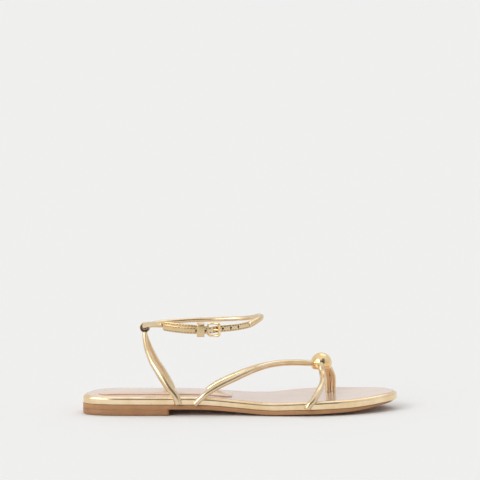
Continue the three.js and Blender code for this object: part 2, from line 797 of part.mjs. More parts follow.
// Prong: a ring around the pivot bar and a tongue that leaves through the strap onto the front bar
function prongSolid(extra) {
  const ringSize = pivotWire / 2 + joint + prongWire / 2;
  const hinge = new THREE.TorusGeometry(ringSize, (prongWire + extra) / 2, 6, 14);
  const centre = ringPlace(pivotTurn, buckleHeight, 0);
  hinge.translate(centre.x, centre.y, centre.z);
  const rest = frontBarOff + frameFrontWire / 2 + joint + prongWire / 2;
  const way = [
    { reach: 0, rise: 0 },
    { reach: 0.25, rise: 0.08 },
    { reach: 0.6, rise: 0.45 },
    { reach: 0.88, rise: 1 },
    { reach: 1.02, rise: 1 },
    { reach: 1.14, rise: 0.82 },
  ];
  const points = way.map(({ reach, rise }) => {
    const x = THREE.MathUtils.lerp(pivotAlong, frontBarAlong, reach);
    return ringPlace(turnAt(x), buckleHeight, THREE.MathUtils.lerp(ringSize, rest, rise));
  });
  return join(solidOf(hinge), solidOf(rolledStrap(points, () => prongWire + extra, 10, 6)));
}

function buckleStrapSolid() {
  const turns = steps(rolledEnd + 0.7, pivotTurn - 1, 12);
  const place = (turn) => ringPlace(turn, riseAt(buckleSide, turn), 0);
  const band = solidOf(ringStrap(turns, place, () => flatSection(doubledStrapThickness, flatStrapHeight)));
  const eyeAt = (up) => ringPlace(pivotTurn, buckleHeight + up, 0);
  const half = flatStrapHeight / 2;
  const eyeLow = eyeAt(-half);
  const eye = rod(eyeLow, eyeAt(half), eyeRadius * 2, 14);
  const past = half + prongWire;
  const barRoom = rod(eyeAt(-past), eyeAt(past), pivotWire + joint * 2, 12);
  const slot = new THREE.BoxGeometry(eyeRadius * 2.4, eyeRadius * 3, prongWire + joint * 2);
  slot.translate(eyeLow.x + eyeRadius * 0.1, eyeLow.y, buckleHeight);
  return cut(join(band, eye), barRoom, solidOf(slot));
}

function holedStrapSolid() {
  const turns = steps(holedTip, holedFront, 32);
  const tipCut = 0.35;
  const tipTurns = 2;
  const narrow = (turn) => 1 - tipCut * Math.max(0, 1 - (turn - holedTip) / tipTurns);
  const section = (turn) => flatSection(flatStrapThickness, flatStrapHeight * narrow(turn));
  const band = solidOf(ringStrap(turns, holedPlace, section));
  const pitch = THREE.MathUtils.radToDeg(holePitch / ringReach);
  const prongTurn = turnAt(frontBarAlong - frameFrontWire * 1.4);
  const holes = [-2, -1, 1, 2, 3].map((k) => {
    const turn = prongTurn + k * pitch;
    const centre = holedPlace(turn);
    const out = ringOutward(turn).multiplyScalar(flatStrapThickness * 1.5);
    return rod(centre.clone().sub(out), centre.clone().add(out), holeDiameter, 8);
  });
  return cut(band, ...holes, prongSolid(joint * 2));
}

// Keeper: a leather loop around the buckle strap and the strap's tip
function keeperSolid() {
  const low = -doubledStrapThickness / 2 - joint - keeperThickness;
  const high = overEye + flatStrapThickness / 2 + keeperThickness;
  const half = keeperHeight / 2;
  const round = keeperThickness;
  const rectangle = (shape, a, b, c, d, r) => {
    shape.moveTo(a + r, c);
    shape.lineTo(b - r, c);
    shape.quadraticCurveTo(b, c, b, c + r);
    shape.lineTo(b, d - r);
    shape.quadraticCurveTo(b, d, b - r, d);
    shape.lineTo(a + r, d);
    shape.quadraticCurveTo(a, d, a, d - r);
    shape.lineTo(a, c + r);
    shape.quadraticCurveTo(a, c, a + r, c);
    return shape;
  };
  const shape = rectangle(new THREE.Shape(), low, high, -half, half, round);
  const t = keeperThickness;
  shape.holes.push(rectangle(new THREE.Path(), low + t, high - t, t - half, half - t, round * 0.4));
  const settings = { depth: keeperWidth, bevelEnabled: false, curveSegments: 3 };
  const loop = new THREE.ExtrudeGeometry(shape, settings);
  loop.translate(0, 0, -keeperWidth / 2);
  const outward = ringOutward(turnAt(keeperAlong));
  const up = vector(0, 0, 1);
  const basis = new THREE.Matrix4().makeBasis(outward, up, outward.clone().cross(up));
  basis.setPosition(ringPlace(turnAt(keeperAlong), buckleHeight, 0));
  loop.applyMatrix4(basis);
  return solidOf(loop);
}

// Finishes, named as a maker would
function finish(color, roughness, metalness) {
  return new THREE.MeshStandardMaterial({ color, roughness, metalness });
}

const tanSole = () => finish(0xa87749, 0.6, 0);
const goldLeather = () => finish(0xe3cf9f, 0.3, 0.9);
const nudeSock = () => finish(0xe4d0bf, 0.4, 0);
const goldMetal = () => finish(0xe2b96a, 0.12, 1);

const sandal = new THREE.Group();
const pieces = [];
function piece(name, solid, material) {
  const geometry = geometryOf(solid);
  const mesh = new THREE.Mesh(geometry, material);
  mesh.name = name;
  pieces.push(mesh);
  sandal.add(mesh);
}

const clearance = joint * 2;
const heelStrapRoom = [heelStrap('outer', clearance), heelStrap('inner', clearance)];
const vampRoom = cut(vampPair(clearance), pastVampEnd(joint));
const toeRoom = toeGroup(clearance);
const trim = belowJoint();

piece('outsole', outsoleSolid(), tanSole());
piece('heel_lift', heelLiftSolid(), tanSole());
piece('footbed', cut(footbedSolid(), ...heelStrapRoom, vampRoom, toeRoom), goldLeather());
piece('sock', cut(sockSolid(), ...heelStrapRoom, vampRoom, toeRoom), nudeSock());
piece('heel_pad', heelPadSolid(), nudeSock());
const heelPair = join(heelStrap('outer', 0), heelStrap('inner', 0), heelLoop());
piece('heel_straps', cut(heelPair, trim), goldLeather());
piece('vamp_straps', cut(vampPair(0), trim, pastVampEnd(0)), goldLeather());
piece('toe_straps', cut(toeGroup(0), trim, vampRoom), goldLeather());
piece('ball', cut(ballShape(0), vampRoom, toeRoom), goldMetal());
piece('ankle_strap', ankleStrapSolid(), goldLeather());
piece('buckle_strap', buckleStrapSolid(), goldLeather());
piece('holed_strap', holedStrapSolid(), goldLeather());
piece('keeper', keeperSolid(), goldLeather());
piece('buckle_frame', buckleFrameSolid(), goldMetal());
piece('buckle_prong', prongSolid(0), goldMetal());

// The origin is the middle of the whole sandal's box, on the ground
const extent = new THREE.Box3().setFromObject(sandal);
const middle = extent.getCenter(vector(0, 0, 0));
pieces.forEach((mesh) => mesh.geometry.translate(-middle.x, -middle.y, 0));

export default sandal;
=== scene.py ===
"""Looks of a flat strappy toe-post sandal, right shoe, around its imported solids.

Lengths are worked out in millimetres from the back and middle of the heel, with the ground at
zero, and every mesh is moved to the frame's own origin and turned into metres when it is made.
"""
import math

import bpy
import numpy as np
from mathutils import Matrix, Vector


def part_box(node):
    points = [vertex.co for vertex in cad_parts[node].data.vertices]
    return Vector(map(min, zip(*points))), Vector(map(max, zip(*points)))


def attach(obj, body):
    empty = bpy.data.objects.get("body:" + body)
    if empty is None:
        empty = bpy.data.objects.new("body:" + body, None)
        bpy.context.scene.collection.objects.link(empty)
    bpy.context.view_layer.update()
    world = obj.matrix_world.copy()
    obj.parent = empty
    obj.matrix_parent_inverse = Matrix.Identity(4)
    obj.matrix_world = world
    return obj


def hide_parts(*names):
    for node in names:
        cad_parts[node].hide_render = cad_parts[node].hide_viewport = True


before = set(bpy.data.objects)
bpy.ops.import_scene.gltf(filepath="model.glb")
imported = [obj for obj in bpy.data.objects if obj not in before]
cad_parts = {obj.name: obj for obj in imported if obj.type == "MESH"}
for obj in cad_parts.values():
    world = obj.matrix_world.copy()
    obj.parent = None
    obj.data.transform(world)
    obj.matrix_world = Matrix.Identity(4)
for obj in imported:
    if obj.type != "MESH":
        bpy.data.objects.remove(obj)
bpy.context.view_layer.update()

# The frame's origin, from two places known in the shoe's own sizes
BALL = (190.4, 21.0, 35.4)
BALL_RADIUS, BALL_BASE = 8.5, 4.42
heel_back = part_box("footbed")[0].x * 1000
ball_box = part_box("ball")
ball_middle = ball_box[1].y * 1000 - BALL_RADIUS
SHIFT = np.array([heel_back, ball_middle - BALL[1], 0.0])

# Sole sizes
SOLE_LENGTH = 251.0
BALL_WIDTH = 83.0
BREAST = 5.0
LIFT_LENGTH = 68.8
OUTSOLE = 3.5
TOE_SETBACK = 3.2
FOOTBED = 6.3
FOOTBED_RADIUS = 2.4
FOREFOOT_CUP = 1.7
BORDER = 3.0
SOCK = 0.8
SOCK_PROUD = 0.25
PAD = 1.0
PAD_BORDER = 12.0
PAD_FRONT = 119.0
PAD_CORNER = 6.0
PAD_LEAN = 7.0
JOINT = 0.3

# Strap sizes
HEEL_STRAP = 6.2
HEEL_NECK = 3.8
VAMP_STRAP = 4.8
VAMP_END = 4.0
TOE_STRAP = 5.3
POST_STRAND = 4.2
ANKLE_STRAP = 4.6
FLAT_HEIGHT = 5.3
FLAT_THICK = 1.4
DOUBLE_THICK = 1.8
STRAP_PROUD = 0.7
LOOP_THICK = 1.0
LOOP_WIDE = 3.4
LOOP_RADIUS = 3.8
ANKLE_HEIGHT = 69.5
ANKLE_BACK = 48.9
ANKLE_FRONT = 142.0
RING_WIDTH = 57.0
LOOP_RISE = 0.967
LOOP_HEIGHT = ANKLE_HEIGHT * LOOP_RISE
LOOP_OUT = 0.3
HEEL_FEET = {"outer": 76.8, "inner": 72.0}
VAMP_FEET = {"outer": 86.6, "inner": 93.4}
VAMP_MEET = (192.4, 20.63, 36.25)
VAMP_STOP = 187.0
TOE_FOOT = 177.6
TOE_TOP = (-0.06, -0.504, 0.14)
POST_FOOT = (197.8, 28.0)
POST_TOP = (194.0, 21.8, 34.04)
POST_BOW = 0.8
HOLE, HOLE_PITCH = 1.7, 7.0
STITCH_TURN, STITCH_MARGIN = math.degrees(2.1 / 40), 0.95


def table(text):
    """Rows of numbers from a short text, one row a line."""
    return np.array([[float(v) for v in line.split()] for line in text.strip().splitlines()])


# Plan of the sole: along, outer edge and inner edge as shares of the length and the ball width
OUTLINE = table("""
0     -0.13  -0.13
0.012 -0.233 0.055
0.04  -0.287 0.212
0.09  -0.32  0.288
0.18  -0.332 0.305
0.3   -0.33  0.301
0.42  -0.321 0.306
0.5   -0.329 0.344
0.58  -0.35  0.43
0.65  -0.367 0.53
0.72  -0.37  0.605
0.79  -0.345 0.625
0.86  -0.267 0.581
0.915 -0.184 0.514
0.955 -0.082 0.43
0.985 0.024  0.333
0.996 0.098  0.262
1     0.18   0.18
""")

# Side view of the sole: along, rise, cup, outsole, footbed and toe setback as shares
PROFILE = table("""
0     1    0   1    0.98 0
0.304 1    0   1    0.98 0
0.36  0.96 0   1    0.97 0
0.42  0.82 0.2 0.97 0.95 0
0.5   0.47 0.6 0.96 0.93 0
0.57  0.13 0.9 0.96 0.93 0
0.615 0    1   0.96 0.95 0
0.73  0    1   0.96 1    0
0.8   0.15 1   0.88 1.03 0
0.865 0.44 1   0.76 1.03 0.05
0.915 0.84 1   0.6  1    0.15
0.945 1.06 1   0.54 0.97 0.4
1     1.28 1   0.44 0.9  1
""")
RISE, CUP, OUTSOLE_SHARE, FOOTBED_SHARE, SETBACK = 1, 2, 3, 4, 5


def between(rows, column, at):
    """Value of a column at a place, by a cubic through the rows whose slope at each row is the
    harmonic mean of the slopes on its two sides, or none where these differ in sign."""
    x, y = rows[:, 0], rows[:, column]
    slope = np.diff(y) / np.diff(x)
    product = slope[:-1] * slope[1:]
    total = slope[:-1] + slope[1:]
    mean = np.where(product > 0, 2 * product / np.where(total == 0, 1, total), 0)
    tangent = np.concatenate([slope[:1], mean, slope[-1:]])
    at = np.asarray(at, float)
    i = np.clip(np.searchsorted(x, at, side="left") - 1, 0, len(x) - 2)
    span = x[i + 1] - x[i]
    t = np.clip((at - x[i]) / span, 0, 1)
    start = (2 * t**3 - 3 * t**2 + 1) * y[i] + (t**3 - 2 * t**2 + t) * tangent[i] * span
    end = (3 * t**2 - 2 * t**3) * y[i + 1] + (t**3 - t**2) * tangent[i + 1] * span
    return start + end


def smoothstep(at, low, high):
    """0 below low, 1 above high, and an even S between them."""
    t = np.clip((np.asarray(at, float) - low) / (high - low), 0, 1)
    return t * t * (3 - 2 * t)


def sole_edge(x, side):
    """Distance of the sole's edge from the heel's middle line, read along a half circle."""
    turns = OUTLINE.copy()
    turns[:, 0] = np.arccos(1 - 2 * OUTLINE[:, 0]) / np.pi
    turn = np.arccos(np.clip(1 - 2 * np.asarray(x, float) / SOLE_LENGTH, -1, 1)) / np.pi
    return between(turns, 1 if side == "outer" else 2, turn) * BALL_WIDTH


def profile(column, x):
    return between(PROFILE, column, np.asarray(x, float) / SOLE_LENGTH)


def underside(x, y):
    """Breast height times the rise, plus the forefoot's cup growing with the square of the
    distance off the middle."""
    middle = (sole_edge(x, "outer") + sole_edge(x, "inner")) / 2
    off = np.abs(y - middle) / (BALL_WIDTH / 2)
    flat = 0.52  # share of the half width that stays level
    cup = FOREFOOT_CUP * profile(CUP, x) * np.maximum(0, (off - flat) / (1 - flat)) ** 2
    return BREAST * profile(RISE, x) + cup


def outsole_top(x, y):
    return underside(x, y) + OUTSOLE * profile(OUTSOLE_SHARE, x)


def footbed_top(x, y):
    return outsole_top(x, y) + JOINT + FOOTBED * profile(FOOTBED_SHARE, x)


def sock_top(x, y):
    return footbed_top(x, y) + SOCK_PROUD


def mesh_of(name, points, faces, uv=None):
    """One object at the origin from points in the shoe's millimetres and faces of 3 or 4."""
    data = bpy.data.meshes.new(name)
    place = (np.asarray(points, float).reshape(-1, 3) + SHIFT) / 1000
    data.from_pydata(place.tolist(), [], [list(f) for f in faces])
    data.update()
    data.shade_smooth()
    if uv is not None:
        layer = data.uv_layers.new(name="UVMap")
        corners = np.zeros(len(data.loops), int)
        data.loops.foreach_get("vertex_index", corners)
        layer.data.foreach_set("uv", uv[corners].astype(np.float32).ravel())
    piece = bpy.data.objects.new(name, data)
    bpy.context.scene.collection.objects.link(piece)
    return piece


def tube_faces(rings, sides, closed=False):
    """Quads between rings of as many points each, the last joined to the first if closed."""
    k = np.arange(rings if closed else rings - 1)[:, None]
    i = np.arange(sides)[None, :]
    following = (k + 1) % rings
    return np.stack([
        k * sides + i,
        k * sides + (i + 1) % sides,
        following * sides + (i + 1) % sides,
        following * sides + i,
    ], axis=-1).reshape(-1, 4)


def outline_loop(stations):
    """Plan of the sole as one loop, outer side from heel to toe and back along the inner side,
    evened out so that the edge curves without flats."""
    x = SOLE_LENGTH * (1 - np.cos(np.pi * np.arange(stations + 1) / stations)) / 2
    outer = np.stack([x, sole_edge(x, "outer")], 1)
    inner = np.stack([x, sole_edge(x, "inner")], 1)[1:-1][::-1]
    loop = np.concatenate([outer, inner])
    for _ in range(6):
        loop = loop / 2 + (np.roll(loop, 1, 0) + np.roll(loop, -1, 0)) / 4
    loop[:, 0] = (loop[:, 0] - loop[:, 0].min()) * SOLE_LENGTH / np.ptp(loop[:, 0])
    return loop


def inward(loop):
    """Unit vectors from each point of a loop into its plan, square to its two neighbours."""
    along = np.roll(loop, -1, 0) - np.roll(loop, 1, 0)
    along /= np.linalg.norm(along, axis=1)[:, None]
    return np.stack([-along[:, 1], along[:, 0]], 1)


def plate(name, loop, levels, across=12):
    """Closed plate over a plan. Each level is the loop moved inwards by its inset, or a loop of
    its own, at its own height, and rows straight across from side to side close the first and the
    last level."""
    count = len(loop)
    half = count // 2
    normal = inward(loop)
    rings = []
    for inset, height in levels:
        if isinstance(inset, np.ndarray):
            plan = inset
        else:
            depth = inset(loop[:, 0]) if callable(inset) else np.full(count, float(inset))
            plan = loop + normal * depth[:, None]
        rings.append(np.column_stack([plan, height(plan[:, 0], plan[:, 1])]))
    points = [np.concatenate(rings)]
    faces = tube_faces(len(rings), count).tolist()
    total = count * len(rings)
    share = np.arange(1, across)[None, :, None] / across
    for ring, height, up in ((0, levels[0][1], False), (len(rings) - 1, levels[-1][1], True)):
        outer = rings[ring][1:half]
        inner = rings[ring][::-1][:half - 1]
        grid = outer[:, None, :] * (1 - share) + inner[:, None, :] * share
        grid[..., 2] = height(grid[..., 0], grid[..., 1])
        points.append(grid.reshape(-1, 3))
        base = ring * count
        inside = total + np.arange((half - 1) * (across - 1)).reshape(half - 1, across - 1)
        total += inside.size
        left = base + np.arange(1, half)[:, None]
        right = base + (count - np.arange(1, half))[:, None]
        rows = np.concatenate([left, inside, right], axis=1)
        quads = np.stack([rows[:-1, :-1], rows[1:, :-1], rows[1:, 1:], rows[:-1, 1:]], -1)
        heel = np.stack([np.full(across, base), rows[0, :-1], rows[0, 1:]], -1)
        toe = np.stack([rows[-1, :-1], np.full(across, base + half), rows[-1, 1:]], -1)
        for part in (quads.reshape(-1, 4), heel, toe):
            faces += (part if up else part[:, ::-1]).tolist()
    return mesh_of(name, np.concatenate(points), faces)


def sole_inset(x):
    return TOE_SETBACK * profile(SETBACK, x)


def outsole_piece(loop):
    """Sole plate: square lower edge over the heel lift, bevelled in front of it, straight side."""
    sharp, soft, turn_over, top_edge = 0.05, 0.45, 4.0, 0.25

    def bevel(x):
        return sharp + soft * smoothstep(x, LIFT_LENGTH, LIFT_LENGTH + turn_over)

    levels = [
        (lambda x: sole_inset(x) + bevel(x), underside),
        (lambda x: sole_inset(x) + bevel(x) * 0.3, lambda x, y: underside(x, y) + bevel(x) * 0.3),
        (sole_inset, lambda x, y: underside(x, y) + bevel(x)),
        (sole_inset, lambda x, y: outsole_top(x, y) - top_edge),
        (lambda x: sole_inset(x) + top_edge * 0.32, lambda x, y: outsole_top(x, y) - top_edge * 0.32),
        (lambda x: sole_inset(x) + top_edge, outsole_top),
    ]
    return plate("tan_outsole", loop, levels)


def footbed_piece(loop):
    """Wrapped board: a straight side that turns over a quarter round to the top, then steps
    down into the bed of the sock."""
    r = FOOTBED_RADIUS
    bed = SOCK + JOINT - SOCK_PROUD
    tuck, bed_edge = 0.35, 0.12

    def bottom(x, y):
        return outsole_top(x, y) + JOINT

    levels = [(tuck, bottom)]
    for angle in np.radians([30, 60, 90]):
        levels.append((tuck * (1 - math.sin(angle)),
                       lambda x, y, a=angle: bottom(x, y) + tuck * (1 - math.cos(a))))
    for angle in np.radians(np.linspace(0, 90, 13)):
        levels.append((r * (1 - math.cos(angle)),
                       lambda x, y, a=angle: footbed_top(x, y) - r * (1 - math.sin(a))))
    levels += [
        (BORDER - bed_edge, footbed_top),
        (BORDER, lambda x, y: footbed_top(x, y) - bed_edge),
        (BORDER, lambda x, y: footbed_top(x, y) - bed),
    ]
    return plate("gold_wrapped_footbed", loop, levels)


def sock_piece(loop):
    """Thin lining sheet laid in the footbed, its edge rolled over by a small round."""
    edge, over = BORDER + JOINT * 0.5, 0.3
    levels = [
        (edge, lambda x, y: sock_top(x, y) - SOCK),
        (edge, lambda x, y: sock_top(x, y) - over),
        (edge + over * 0.3, lambda x, y: sock_top(x, y) - over * 0.3),
        (edge + over, sock_top),
        (edge + over * 4, sock_top),
    ]
    return plate("nude_sock_lining", loop, levels, across=24)


def pad_loop(count, inset=0.0):
    """Plan of the heel pad: the sole's edge less a border, a half round behind that leans to the
    outer side, and two small corner rounds in front, as one loop, set in all round."""
    border, end, corner = PAD_BORDER + inset, PAD_FRONT - inset, max(PAD_CORNER - inset, 1.0)
    x = border + (end - border) * (1 - np.cos(np.pi * np.arange(count + 1) / count)) / 2
    settled = np.maximum(x, 0.18 * SOLE_LENGTH)  # in front of the heel's curve
    outer = sole_edge(settled, "outer") + border
    inner = sole_edge(settled, "inner") - border
    wide = (inner - outer) / 2
    back = np.maximum(0, 1 - (x - border) / wide)
    middle = (outer + inner) / 2 - PAD_LEAN * back
    front = np.maximum(0, 1 - (end - x) / corner)
    half = wide * np.sqrt(1 - back**2) - corner * (1 - np.sqrt(1 - front**2))
    half[-1] = 0
    near = np.stack([x, middle - half], 1)
    far = np.stack([x, middle + half], 1)[1:-1][::-1]
    return np.concatenate([near, far])


def pad_piece():
    """Heel pad with a soft crown: its top rises by a share of its thickness towards the middle,
    and its rim rounds over and is pressed in along a line just inside the edge. Its rows give the
    inset and the share of the thickness."""
    stations = 72
    rows = table("""
    0    0
    0    0.35
    0.12 0.62
    0.4  0.8
    0.9  0.86
    1.3  0.84
    1.6  0.66
    1.9  0.84
    2.6  0.97
    5    1.12
    9    1.25
    """)

    def at(rise):
        return lambda x, y: sock_top(x, y) + JOINT * 0.4 + PAD * rise

    levels = [(pad_loop(stations, inset), at(rise)) for inset, rise in rows]
    return plate("padded_heel_patch", pad_loop(stations), levels, across=16)


def lift_piece(loop):
    """Heel lift: the sole's plan cut straight across at the breast, with small rounds at its
    lower edge and at the breast's two corners."""
    corner, bevel = 2.2, 0.8
    edge = loop[loop[:, 0] < LIFT_LENGTH]
    start = np.argmin(edge[:, 0])
    edge = np.roll(edge, -start, 0)
    jump = np.argmax(np.abs(np.diff(edge[:, 1])))
    outer, inner = edge[:jump + 1], edge[jump + 1:]
    turn = np.radians(np.linspace(0, 90, 7))
    low, high = sole_edge(LIFT_LENGTH, "outer"), sole_edge(LIFT_LENGTH, "inner")
    outer = outer[outer[:, 0] < LIFT_LENGTH - corner]
    inner = inner[inner[:, 0] < LIFT_LENGTH - corner]
    forward, aside = LIFT_LENGTH - corner * (1 - np.sin(turn)), corner * (1 - np.cos(turn))
    near = np.stack([forward, low + aside], 1)
    far = np.stack([forward, high - aside], 1)
    plan = np.concatenate([outer, near, far[::-1], inner])
    normal = inward(plan)
    levels = [(bevel, 0.0), (bevel * 0.3, bevel * 0.3), (0.0, bevel), (0.0, BREAST)]
    rings = [np.column_stack([plan + normal * inset, np.full(len(plan), height)])
             for inset, height in levels]
    centre = plan.mean(0)
    points = np.concatenate(rings + [[[*centre, 0.0]], [[*centre, BREAST]]])
    count = len(plan)
    faces = tube_faces(len(rings), count).tolist()
    i = np.arange(count)
    bottom, top = count * len(rings), count * len(rings) + 1
    last = count * (len(rings) - 1)
    faces += np.stack([(i + 1) % count, i, np.full(count, bottom)], 1).tolist()
    faces += np.stack([last + i, last + (i + 1) % count, np.full(count, top)], 1).tolist()
    return mesh_of("tan_heel_lift", points, faces)


# Rolled straps
def climb(foot, top, rows):
    """Points from a foot to a top, each row giving the share of the way along, across and up."""
    foot, top = np.array(foot, float), np.array(top, float)
    return foot + (top - foot) * rows


def spline(points, spacing=0.8):
    """Evenly spaced places on the centripetal curve through the points, then eased by three
    passes of averaging with both neighbours."""
    p = np.vstack([2 * points[0] - points[1], points, 2 * points[-1] - points[-2]])
    gap = np.sqrt(np.linalg.norm(np.diff(p, axis=0), axis=1))[:, None]
    before, here, after = gap[:-2], gap[1:-1], gap[2:]
    a, b, c, d = p[:-3], p[1:-2], p[2:-1], p[3:]
    first = ((b - a) / before - (c - a) / (before + here) + (c - b) / here) * here
    last = ((c - b) / here - (d - b) / (here + after) + (d - c) / after) * here
    t = np.linspace(0, 1, 41)[:-1][None, :, None]
    b, c, first, last = (v[:, None, :] for v in (b, c, first, last))
    way = ((2 * t**3 - 3 * t**2 + 1) * b + (t**3 - 2 * t**2 + t) * first
           + (3 * t**2 - 2 * t**3) * c + (t**3 - t**2) * last).reshape(-1, 3)
    way = np.vstack([way, points[-1]])
    run = np.concatenate([[0], np.cumsum(np.linalg.norm(np.diff(way, axis=0), axis=1))])
    even = np.linspace(0, run[-1], int(run[-1] / spacing) + 1)
    way = np.stack([np.interp(even, run, way[:, k]) for k in range(3)], 1)
    for _ in range(3):
        way[1:-1] = way[1:-1] / 2 + (way[:-2] + way[2:]) / 4
    return way


def frames_along(way, upright, closed=False):
    """Side and upright unit vectors square to a way, the side one square to a fixed direction."""
    if closed:
        along = np.roll(way, -1, 0) - np.roll(way, 1, 0)
    else:
        along = np.gradient(way, axis=0)
    along /= np.linalg.norm(along, axis=1)[:, None]
    side = np.cross(along, upright)
    side /= np.linalg.norm(side, axis=1)[:, None]
    return side, np.cross(side, along)


def carried(name, way, sections, upright, closed=False, rounded_ends=0.0):
    """A profile carried along a way. The sections give, for each place, the profile's lengths
    to the side and up; the ends are closed by a point each. U runs round, V along in mm."""
    side, up = frames_along(way, upright, closed)
    side, up = side[:, None, :], up[:, None, :]
    rings = way[:, None, :] + side * sections[..., :1] + up * sections[..., 1:]
    count, sides = sections.shape[:2]
    points = rings.reshape(-1, 3)
    faces = tube_faces(count, sides, closed=closed)[:, ::-1].tolist()
    run = np.concatenate([[0], np.cumsum(np.linalg.norm(np.diff(way, axis=0), axis=1))])
    round_ = np.arange(sides)[None, :] / sides
    uv = np.stack(np.broadcast_arrays(round_, run[:, None]), -1).reshape(-1, 2)
    if not closed:
        tangent = np.stack([way[0] - way[1], way[-1] - way[-2]])
        tangent /= np.linalg.norm(tangent, axis=1)[:, None]
        ends = np.stack([rings[0].mean(0), rings[-1].mean(0)]) + tangent * rounded_ends
        points = np.vstack([points, ends])
        i = np.arange(sides)
        first, last = count * sides, count * sides + 1
        tail = (count - 1) * sides
        faces += np.stack([i, (i + 1) % sides, np.full(sides, first)], 1).tolist()
        faces += np.stack([tail + (i + 1) % sides, tail + i, np.full(sides, last)], 1).tolist()
        uv = np.vstack([uv, [[0, 0], [0, run[-1]]]])
    return mesh_of(name, points, faces, uv=uv)


def rolled(name, way, width, upright, seam=0.75, sides=28, rounded_ends=0.0):
    """Round strap rolled round a cord: a circle whose radius dips along one narrow seam, given
    as a share of a turn, with slow swellings of a hundredth along its length."""
    count = len(way)
    width = np.broadcast_to(np.asarray(width, float), (count,))
    turn = np.arange(sides) / sides
    depth, narrow = 0.075, 0.022
    dip = 1 - depth * np.exp(-(((turn - seam + 0.5) % 1 - 0.5) / narrow) ** 2)
    run = np.arange(count) * np.linalg.norm(way[1] - way[0])
    swell = 1 + 0.01 * np.sin(run / 5.3) + 0.006 * np.sin(run / 2.1 + 1.0)
    radius = width[:, None] / 2 * swell[:, None] * dip[None, :]
    angle = 2 * np.pi * turn[None, :]
    sections = np.stack([radius * np.cos(angle), radius * np.sin(angle)], -1)
    return carried(name, way, sections, upright, rounded_ends=rounded_ends)


def rim_foot(x, side):
    """Place of a strap's foot at the rim, at the joint on top of the outsole."""
    edge = float(sole_edge(x, side))
    return np.array([x, edge + math.copysign(STRAP_PROUD, edge), float(outsole_top(x, edge))])


def above_joint(way):
    """The part of a way that lies above the joint between the outsole and the footbed."""
    joint = outsole_top(way[:, 0], way[:, 1]) + JOINT
    return way[way[:, 2] > joint]


# The heel straps: along for the outer one and for the inner one, across, up
HEEL_WAY = table("""
0    0    0    -0.04
0.09 0.09 0    0.12
0.31 0.26 0.05 0.26
0.47 0.42 0.14 0.38
0.62 0.58 0.28 0.49
0.77 0.7  0.43 0.6
0.88 0.8  0.6  0.71
0.96 0.89 0.77 0.82
1    0.97 0.92 0.93
1    1    1    1
""")
OUTER_VAMP_WAY = table("""
0    0    -0.06
0.11 0.02 0.33
0.2  0.09 0.53
0.32 0.2  0.73
0.47 0.37 0.95
0.58 0.53 1.05
0.69 0.67 1.08
0.8  0.79 1.06
0.89 0.91 1.01
0.95 0.99 1
1    1    1
""")
INNER_VAMP_WAY = table("""
0    0    -0.06
0.07 0.02 0.2
0.16 0.1  0.41
0.3  0.3  0.64
0.42 0.45 0.8
0.53 0.5  0.91
0.64 0.52 0.97
0.76 0.56 0.99
0.87 0.78 0.99
0.94 0.98 1
1    1    1
""")
TOE_WAY = table("""
0     0     -0.063
0.17  0     0.11
0.47  0.031 0.236
0.667 0.106 0.346
0.86  0.212 0.453
1.02  0.372 0.535
1.13  0.553 0.616
1.14  0.746 0.689
1.09  0.857 0.777
1.045 0.9   0.877
1.01  0.948 0.959
1.03  1.01  1.01
1.06  1.075 1.02
""")
# The post's strands: share of the reach for the back one and the front one, across, spread, up
POST_WAY = table("""
-0.06 -0.02 1    1    -0.06
-0.05 0     1    1    0.18
0     0.12  1    1    0.3
0     0.14  0.94 1    0.5
0.06  0.18  0.7  1    0.68
0.28  0.5   0.36 0.88 0.84
0.56  0.86  0.05 0.4  1
""")
SIDEWAYS, FORWARD, UPRIGHT = (0, 1, 0), (1, 0, 0), (0, 0, 1)


def heel_strap(side):
    foot = rim_foot(HEEL_FEET[side], side)
    apart = math.copysign(HEEL_NECK * 0.3, foot[1])
    neck = [ANKLE_BACK + LOOP_OUT, apart, LOOP_HEIGHT - LOOP_RADIUS]
    way = spline(climb(foot, neck, HEEL_WAY[:, (0 if side == "outer" else 1, 2, 3)]))
    share = np.linspace(0, 1, len(way))
    width = HEEL_STRAP + (HEEL_NECK - HEEL_STRAP) * smoothstep(share, 0.35, 1)
    return way, width


def vamp_strap(side):
    foot = rim_foot(VAMP_FEET[side], side)
    spread = math.copysign(VAMP_END * 0.37, foot[1])
    end = [VAMP_MEET[0], VAMP_MEET[1] + spread, VAMP_MEET[2] - VAMP_END / 10]
    way = spline(climb(foot, end, OUTER_VAMP_WAY if side == "outer" else INNER_VAMP_WAY))
    share = np.linspace(0, 1, len(way))
    width = VAMP_STRAP + (VAMP_END - VAMP_STRAP) * smoothstep(share, 0.8, 0.93)
    keep = way[:, 0] < VAMP_STOP
    return way[keep], width[keep]


def toe_strap():
    foot = rim_foot(TOE_FOOT, "outer")
    top = np.array(BALL) + np.array(TOE_TOP) * BALL_RADIUS
    return spline(climb(foot, top, TOE_WAY))


def post_strand(back):
    along, across = POST_FOOT
    foot = float(outsole_top(along, across)) + JOINT
    forward, across_share, spread, up = POST_WAY[:, (0 if back else 1, 2, 3, 4)].T
    bow = 0 if back else POST_BOW
    spread = (-1 if back else 1) * POST_STRAND * 0.48 * spread
    points = np.stack([
        along + spread + forward * (POST_TOP[0] - along) + bow * np.sin(np.pi * up),
        POST_TOP[1] + (across - POST_TOP[1]) * across_share,
        foot + (POST_TOP[2] - foot) * up,
    ], 1)
    return spline(points)


